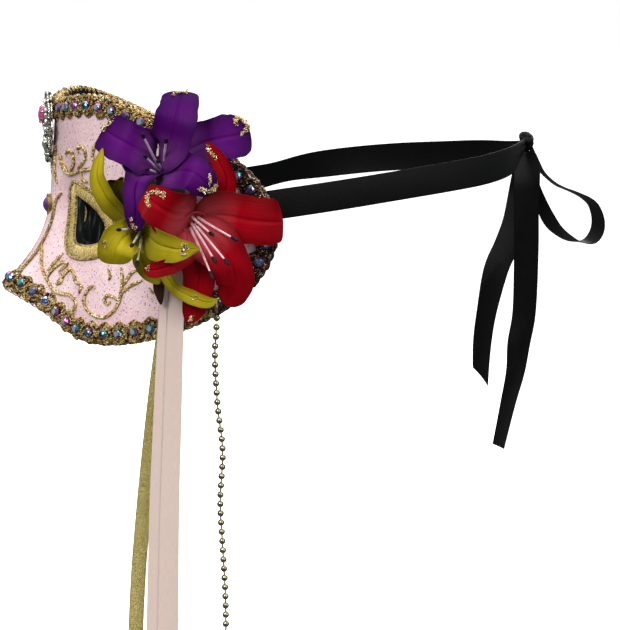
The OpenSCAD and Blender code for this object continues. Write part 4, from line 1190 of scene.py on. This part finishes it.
antique_gold = metal_look("antique_gold", (0.30, 0.19, 0.06), (0.70, 0.50, 0.20), 0.28)
low, high = box_mm("bridge_gem")
gx, gz = (low[0] + high[0]) / 2, (low[2] + high[2]) / 2
shape = Shape()
shape.ball((gx, high[1], gz), ((high[0] - low[0]) / 2, (high[2] - low[2]) / 2, high[1] - low[1]), 32, 14,
           axes=[[1, 0, 0], [0, 0, 1], [0, -1, 0]], low=0)
shape.make("bridge_cabochon", gem_look("purple_glass", (0.05, 0.008, 0.09), (0.16, 0.03, 0.26)), "root",
           "purple_gem", "bridge_gem", crease=0)
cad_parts["bridge_bezel"].data.materials.clear()
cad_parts["bridge_bezel"].data.materials.append(antique_gold)
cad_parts["chain_ring"].data.materials.clear()
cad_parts["chain_ring"].data.materials.append(antique_gold)
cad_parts["flower_pad"].data.materials.clear()
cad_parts["flower_pad"].data.materials.append(felt_look("green_felt", (0.02, 0.03, 0.008), (0.06, 0.07, 0.02)))

# ---------------------------------------------------------------- flowers
PURPLE = (np.array([77, 34, 17.5]), unit(np.array([0.75, -0.35, 0.55])))
RED = (np.array([83, 46, -2.5]), unit(np.array([0.9, 0.25, -0.35])))
GREEN = (np.array([82.5, 25, -6]), unit(np.array([0.85, -0.35, -0.4])))
TIP_FACING = np.array([0.98, -0.15, 0.08])

# each petal from throat to tip, as place, width, roll and curl in degrees
PETALS = {
    "purple_outer": [
        [[78, 34, 19, 5, 0, 40], [88, 36, 27, 11.5, 0, 30], [92, 38, 37, 16.5, 0, 25],
         [90, 40, 44, 15.5, 0, 15], [86, 41, 49, 13.5, 0, 10]],
        [[78, 34, 16, 5, 0, 40], [90, 38, 18, 11, 0, 40], [97, 44, 18, 15, -10, -50],
         [97, 49, 14, 13, -15, -50], [93, 53, 10, 8, -15, -30]],
        [[77, 32, 17, 5, 0, 40], [84, 27, 20, 8, 0, 50], [86, 22, 20, 9, 0, 50],
         [85, 19, 18, 6, 0, 30]]],
    "purple_inner": [
        [[78, 32, 19, 5, 0, 40], [86, 26, 25, 12.5, 0, 35], [88, 19, 29, 17, 0, 25],
         [84, 14, 32, 17, 0, 20], [80, 11, 34, 13.5, 0, 10]],
        [[77, 36, 19, 5, 0, 40], [80, 48, 27, 12, 0, 20], [82, 57, 30, 17.5, 0, 15],
         [80, 64, 31, 18, 0, 10], [76, 70, 32, 11, 0, 1]],
        [[77, 31, 16, 5, 0, 40], [88, 25, 16, 9, 0, 60], [92, 22, 11, 9, 0, 40],
         [94, 22, 3, 9, 0, 30], [94, 22, -5, 6, 0, 20]]],
    "red_outer": [
        [[84, 45, 0, 6, 0, 40], [93, 38, 1, 14, 0, 40], [98, 32, 4, 16.5, 0, 30],
         [98, 28, 7, 14, 0, 25], [95, 25, 9, 10, 0, 20]],
        [[83, 48, -1, 6, 0, 40], [87, 57, 0, 13, 0, 20], [88, 68, -2, 18.5, 0, -10],
         [86, 77, -3, 18.5, 0, -10], [83, 82, -3, 16, 0, -10]],
        [[82, 45, -5, 5, 0, 40], [86, 47, -14, 11, 0, 30], [86, 48, -24, 12.5, 0, 20],
         [84, 47, -34, 11, 0, 15], [82, 44, -43, 5, 0, 10]]],
    "red_inner": [
        [[82, 48, 0, 5, 0, 40], [84, 56, 5, 8, 0, 60], [87, 59, 13, 7.5, 0, 60],
         [88, 56, 21, 7, 0, 60], [88, 51, 29, 3, 0, 30]],
        [[84, 47, -4, 6, 0, 40], [90, 54, -11, 12, 0, 30], [91, 60, -19, 15.5, 0, 20],
         [88, 62, -28, 14.5, 0, 15], [84, 59, -36, 8, 0, 10]],
        [[83, 44, -5, 5, 0, 40], [88, 43, -13, 7, 0, 60], [93, 37, -18, 7.5, 0, 60],
         [97, 30, -20, 6.5, 0, 50], [97, 25, -20, 4.5, 0, 40]]],
    "green_outer": [
        [[81, 24.5, -5, 6, 0, 60], [88, 20.6, -6, 12, 0, 80], [94, 16.3, -9, 16, 0, 80],
         [95, 14, -13, 15, 0, 70], [92, 14, -18, 9, 0, 50]],
        [[81, 22, -4, 6, 0, 90], [82, 19, 2, 11, 0, 180], [83, 17, 9, 14, 0, 220],
         [81, 16, 14, 13, 0, 220]],
        [[82, 28, -8, 4, 0, 40], [82, 33, -19, 4.5, 0, 40], [86, 38, -28, 5.5, 0, 50],
         [90, 45, -32, 6, 0, 50], [90, 51, -34, 4.5, 0, 40], [89, 55, -33, 1.6, 0, 30]]],
    "green_inner": [
        [[81, 23, -4, 5, 0, 60], [86, 15.5, 3, 9, 0, 100], [90, 10.5, 9, 9, 0, 120],
         [90, 7.5, 17, 6.5, 0, 100], [87, 10, 27, 1.6, 0, 60]],
        [[85, 27, -6, 7, 0, 50], [94, 30, -10, 13.5, 0, 50], [98, 37, -12, 10.5, 0, 40],
         [98, 43, -12, 5.5, 0, 30], [96, 47, -12, 1.6, 0, 20]],
        [[82, 26, -9, 5, 0, 40], [85, 25, -15, 7, 0, 50], [84, 28, -22, 7, 0, 50],
         [82, 33, -27, 2.5, 0, 30]]],
}
LEAF_ROUTE = [[80, 29, -10, 2.5, 0, 30], [79, 31, -17, 3, 0, 30], [78, 33, -24, 3.5, 0, 30],
              [78, 33, -29, 4.5, 0, 30], [77, 34, -36, 1.6, 0, 10]]
TIP_BEGINS = 0.86
LEAST_CURL = 2.0
ROLLED_CURL = 150


def petal_grid(axis, route, flare=0.0, neck=1.0, rows=56, cols=24):
    """Centre surface of a petal as a grid, its normals, and shares along and across it."""
    line = catmull(route, 40)
    t = 1 - (1 - np.linspace(0, 1, rows + 1)) ** 1.35
    line = np.stack([np.interp(t, np.linspace(0, 1, len(line)), line[:, k]) for k in range(6)], -1)
    mid, width, roll = line[:, :3], line[:, 3], np.radians(line[:, 4])[:, None]
    along = unit(np.gradient(mid, axis=0))
    facing = axis + (TIP_FACING - axis) * t[:, None]
    flat = unit(np.cross(facing, along))
    over = np.cross(along, flat)
    b, c = flat * np.cos(roll) + over * np.sin(roll), over * np.cos(roll) - flat * np.sin(roll)
    curl = np.radians(np.where(np.abs(line[:, 5]) < LEAST_CURL, LEAST_CURL, line[:, 5]))
    rounding = np.sqrt(1 - (np.maximum(0, t - TIP_BEGINS) / (1 - TIP_BEGINS)) ** 2)
    phase = 0.7 + 0.37 * route[1][3] + 0.21 * route[-1][1]
    uneven = 1 + 0.018 * np.sin(t * 23 + phase) + 0.012 * np.sin(t * 41 + 2 * phase)
    narrowing = neck + (1 - neck) * np.clip(t / 0.12, 0, 1)
    width = width * rounding * uneven * narrowing * (1 + flare * np.exp(-((t - 0.14) / 0.2) ** 2))
    width = np.maximum(width, 0.35)
    radius = width / curl
    s = np.linspace(-1, 1, cols + 1)
    g = curl[:, None] * s[None] / 2
    swell = np.sin(np.pi * np.clip(t * 1.04, 0, 1))[:, None] ** 0.6
    ruffle = 0.42 * np.sin(t[:, None] * 11 + phase + 1.4 * np.sign(s)[None]) * np.abs(s)[None] ** 2.2 * swell
    crease = -0.5 * np.exp(-((s / 0.09) ** 2))[None] * swell * np.minimum(1, width / 8)[:, None]
    lift = radius[:, None] * (1 - np.cos(g)) + ruffle + crease
    p = mid[:, None] + b[:, None] * (radius[:, None] * np.sin(g))[..., None] + c[:, None] * lift[..., None]
    du, dv = np.gradient(p, axis=0), np.gradient(p, axis=1)
    return p, unit(np.cross(dv, du)), t, s


def petals(name, axis, routes, material, slot, node, throat=None, flare=0.0, neck=1.0):
    shape = Shape()
    if throat is not None:
        x = unit(np.cross(axis, [0.1, 0.2, 0.97]))
        y = np.cross(axis, x)
        g = np.arange(24) * 2 * np.pi / 24
        rows = [throat + axis * h + r * (np.cos(g)[:, None] * x + np.sin(g)[:, None] * y)
                for r, h in ((0.3, -1.2), (1.8, -0.9), (3.6, 0.3), (5.2, 2.4))]
        p = np.stack(rows)
        n = unit(p - (throat + axis * 6))
        shape.solid_cup(p, n, 0.4)
    for route in routes:
        p, n, t, s = petal_grid(axis, route, flare, neck)
        thick = 0.5 - 0.28 * np.abs(s)[None] ** 3 * np.ones((len(t), 1))
        rolled = route[2][5] > ROLLED_CURL
        # a tightly rolled petal gets a dark tint on its inner side: painted shade inside the roll
        shape.solid_sheet(p, n, thick, t, (s + 1) / 2, back=(0.13, 0.12, 0.16) if rolled else None)
    return shape.make(name, material, "root", slot, node, crease=55)


silks = {
    "purple": silk_look("purple_silk", (0.20, 0.045, 0.24), (0.082, 0.0016, 0.125), (0.026, 0.001, 0.052),
                        (0.020, 0.001, 0.044), (0.030, 0.001, 0.062)),
    "red": silk_look("red_silk", (0.50, 0.065, 0.08), (0.36, 0.001, 0.008), (0.26, 0.001, 0.005),
                     (0.12, 0.0006, 0.002), (0.16, 0.0008, 0.003)),
    "green": silk_look("green_silk", (0.34, 0.30, 0.02), (0.48, 0.38, 0.010), (0.38, 0.29, 0.008),
                       (0.17, 0.14, 0.005), (0.21, 0.17, 0.006)),
}
# how much wider the petals are just out of the throat, and how wide at their root
SPREAD = {"purple": (0.75, 1.0), "red": (0.9, 1.0), "green": (0.1, 0.35)}
for colour, flower in (("purple", PURPLE), ("red", RED), ("green", GREEN)):
    for layer in ("outer", "inner"):
        petals(f"{colour}_lily_{layer}_petals", flower[1], PETALS[f"{colour}_{layer}"], silks[colour],
               colour + "_silk", f"{colour}_petals_{layer}", flower[0] if layer == "inner" else None,
               *SPREAD[colour])

petals("dark_leaf_silk", GREEN[1], [LEAF_ROUTE],
       silk_look("brown_silk", (0.09, 0.045, 0.02), (0.075, 0.032, 0.016), (0.03, 0.014, 0.008),
                 (0.025, 0.010, 0.006), (0.02, 0.010, 0.006)), "brown_leaf", "dark_leaf")

# glitter strokes near the petal tips: points of the stroke as place along and across the petal
glitter_look = glitter_gold("petal_glitter", (0.20, 0.11, 0.03), (0.88, 0.68, 0.32), (1.0, 0.97, 0.82), size=1300,
                            metal=0.6, rough=0.25)
STROKES = [
    (PURPLE, "purple_outer", 0, [(0.89, 0.5), (0.95, 0.17), (0.96, -0.6)], 0.3),
    (PURPLE, "purple_inner", 0, [(0.89, -0.67), (0.91, -0.5), (0.95, -0.33), (0.95, 0.17)], 0.6),
    (PURPLE, "purple_outer", 1, [(0.73, -0.5), (0.87, -0.33), (0.95, 0.17), (0.91, 0.5)], 1.0),
    (PURPLE, "purple_outer", 1, [(0.75, 0.5), (0.82, 0.17)], 1.0),
    (PURPLE, "purple_inner", 1, [(0.78, 0.5), (0.82, 0.83), (0.93, 0.83), (0.97, 0.5), (0.89, 0.17), (0.82, 0.0)], 1.0),
    (PURPLE, "purple_inner", 2, [(0.84, -0.5), (0.95, -0.33), (0.92, 0.17), (0.96, -0.17)], 0.5),
    (RED, "red_outer", 0, [(0.73, 0.33), (0.83, 0.17), (0.86, -0.17), (0.81, -0.5), (0.67, -0.67), (0.62, -0.5)], 1.0),
    (RED, "red_inner", 0, [(0.94, 0.67), (0.89, 0.5), (0.8, 0.17)], 0.8),
    (RED, "red_outer", 2, [(0.95, 0.17), (0.89, 0.17)], 0.6),
    (RED, "red_inner", 2, [(0.96, -0.17), (0.89, -0.5)], 0.5),
    (GREEN, "green_outer", 0, [(0.65, -0.83), (0.72, -0.67)], 0.5),
    (GREEN, "green_inner", 1, [(0.6, 0.5), (0.69, 0.33), (0.6, -0.17), (0.62, -0.5)], 0.8),
    (GREEN, "green_outer", 2, [(0.61, 0.0), (0.63, 0.5)], 0.5),
]
GRAINS = np.array([(1.0, 0.85, 0.5), (0.8, 0.6, 0.3), (1.0, 0.95, 0.8), (0.6, 0.4, 0.2)])
shape = Shape()
for flower, group, index, stroke, density in STROKES:
    p, n, t, s = petal_grid(flower[1], PETALS[group][index])
    st = catmull(stroke, 12)
    ti = np.interp(st[:, 0], t, np.arange(len(t)))
    si = np.interp(st[:, 1], s, np.arange(len(s)))
    i0, j0 = np.clip(ti.astype(int), 0, len(t) - 2), np.clip(si.astype(int), 0, len(s) - 2)
    fi, fj = (ti - i0)[:, None], (si - j0)[:, None]
    blendp = lambda g: ((g[i0, j0] * (1 - fi) + g[i0 + 1, j0] * fi) * (1 - fj)
                        + (g[i0, j0 + 1] * (1 - fi) + g[i0 + 1, j0 + 1] * fi) * fj)
    mid, nn = blendp(p), unit(blendp(n))
    face_out = np.sign(nn @ TIP_FACING)[:, None] * nn
    mid, face_out = resample(mid, 0.28, face_out)
    for layer in range(7):
        keep = rng.uniform(size=len(mid)) < density * 0.9
        q = mid[keep] + face_out[keep] * 0.45 + rng.normal(size=(keep.sum(), 3)) * 0.42
        shape.bits(q, rng.uniform(0.22, 0.42, keep.sum()), GRAINS[rng.integers(0, 4, keep.sum())])
shape.make("petal_glitter_strokes", glitter_look, "root", "gold_relief", crease=0)

TIPS = {"purple": [[96, 25, 32], [95, 34, 30], [95, 26, 24], [94, 31, 22], [93, 27, 19]],
        "red": [[99, 60, -8], [99, 51, -6], [99, 57, -17], [99, 51, -22], [100, 52, -16]],
        "green": [[99, 15, -4], [99, 22, -17], [99, 20, -10]]}
FOOT_SPREAD = 0.3
filaments = {"purple": wax_look("lavender_filament", (0.56, 0.42, 0.58), (0.82, 0.72, 0.82)),
             "red": wax_look("rose_filament", (0.58, 0.28, 0.32), (0.78, 0.52, 0.54)),
             "green": wax_look("pale_filament", (0.50, 0.46, 0.30), (0.72, 0.66, 0.52))}
anther_look = wax_look("black_anther", (0.004, 0.003, 0.006), (0.016, 0.009, 0.020), 0.5)
for colour, (throat, up) in (("purple", PURPLE), ("red", RED), ("green", GREEN)):
    stalks, heads = Shape(), Shape()
    tips = np.array(TIPS[colour], float)
    for tip in tips:
        start = throat + (tip - tips.mean(0)) * FOOT_SPREAD
        reach = np.linalg.norm(tip - start)
        pts = catmull([start, start * 0.6 + tip * 0.4 + up * reach * 0.05,
                       start * 0.25 + tip * 0.75 + up * reach * 0.03, tip], 8)
        stalks.tube(pts, np.linspace(0.62, 0.36, len(pts)), 8)
        way = unit(pts[-1] - pts[-3])
        cross = unit(np.cross(way, [0.2, 0.1, 0.9]))
        heads.ball(tip + way * 0.4, (0.85, 0.75, 2.1), 12, 9, axes=[cross, np.cross(way, cross), way])
    stem = stalks.make(colour + "_filaments", filaments[colour], "root", "stamen", colour + "_stamens", crease=0)
    heads.make(colour + "_anthers", anther_look, "root", "stamen", crease=0)

# funnel-shaped calyx behind each flower
stem_look = wax_look("green_stem", (0.05, 0.07, 0.015), (0.12, 0.14, 0.03))
PAD_AT = (47.0, 2.0)
pad_normal = face_normal(*PAD_AT)
pad_top = on_shell(*PAD_AT, 4.35)
rearward = unit(np.cross([0, 0, 1.0], pad_normal))
for colour, (throat, up), rear, lift in (("purple", PURPLE, 0, 7), ("red", RED, 9, -1), ("green", GREEN, -4, -6)):
    foot = pad_top + rear * rearward + np.array([0, 0, lift])
    end = throat - unit(throat - foot) * 1.2
    pts = foot + np.linspace(0, 1, 24)[:, None] * (end - foot)
    shape = Shape()
    shape.tube(pts, np.interp(np.linspace(0, 1, 24), [0, 0.35, 0.8, 1], [1.9, 2.1, 3.0, 3.4]), 16)
    shape.make(colour + "_calyx_cup", stem_look, "root", "flower_stem", colour + "_calyx", crease=0)

# ---------------------------------------------------------------- stage, light and finish
low, high = cad_bounds
floor_mesh = bpy.data.meshes.new("floor")
fz = low[2] - 0.03
floor_mesh.from_pydata([(-9, -9, fz), (9, -9, fz), (9, 9, fz), (-9, 9, fz)], [], [(0, 1, 2, 3)])
floor = bpy.data.objects.new("floor", floor_mesh)
bpy.context.scene.collection.objects.link(floor)
k = Look("pale_floor", rough=0.9)
k.put("Base Color", k.ramp(k.noise(0.6, detail=2), [(0.3, (0.93, 0.93, 0.93)), (0.7, (0.96, 0.96, 0.96))]))
k.put("Emission Color", (1, 1, 1, 1))
k.put("Emission Strength", 0.8)
floor_mesh.materials.append(k.m)
floor.visible_diffuse = False
floor.visible_glossy = False


def softbox(name, place, target, size, power):
    data = bpy.data.lights.new(name, "AREA")
    data.shape = "RECTANGLE"
    data.size, data.size_y = size
    data.energy = power
    obj = bpy.data.objects.new(name, data)
    bpy.context.scene.collection.objects.link(obj)
    obj.location = place
    obj.rotation_euler = (Vector(target) - Vector(place)).to_track_quat("-Z", "Y").to_euler()
    return obj


softbox("key", (1.4, -0.9, 1.0), (0.05, 0.06, 0), (0.7, 0.7), 27)
softbox("fill", (1.5, 1.2, 0.5), (0.05, 0.1, 0), (1.2, 1.2), 13)
softbox("top", (0.0, 0.1, 1.8), (0, 0.1, 0), (1.4, 1.4), 22)
softbox("rear", (-1.3, 0.9, 0.8), (0, 0.1, 0), (1.2, 1.2), 10)

world = bpy.data.worlds.new("studio")
bpy.context.scene.world = world
world.use_nodes = True
tree = world.node_tree
tree.nodes.clear()
out = tree.nodes.new("ShaderNodeOutputWorld")
seen = tree.nodes.new("ShaderNodeBackground")
seen.inputs["Color"].default_value = (1, 1, 1, 1)
seen.inputs["Strength"].default_value = 1.0
lit = tree.nodes.new("ShaderNodeBackground")
lit.inputs["Strength"].default_value = 0.75
where = tree.nodes.new("ShaderNodeTexCoord")
split = tree.nodes.new("ShaderNodeSeparateXYZ")
fade = tree.nodes.new("ShaderNodeValToRGB")
fade.color_ramp.elements[0].position = 0.0
fade.color_ramp.elements[0].color = (0.22, 0.22, 0.23, 1)
fade.color_ramp.elements[1].position = 0.8
fade.color_ramp.elements[1].color = (1, 1, 1, 1)
tree.links.new(where.outputs["Generated"], split.inputs[0])
tree.links.new(split.outputs["Z"], fade.inputs["Fac"])
tree.links.new(fade.outputs["Color"], lit.inputs["Color"])
path = tree.nodes.new("ShaderNodeLightPath")
both = tree.nodes.new("ShaderNodeMixShader")
tree.links.new(path.outputs["Is Camera Ray"], both.inputs[0])
tree.links.new(lit.outputs[0], both.inputs[1])
tree.links.new(seen.outputs[0], both.inputs[2])
tree.links.new(both.outputs[0], out.inputs["Surface"])
bpy.context.scene.view_settings.view_transform = "Standard"
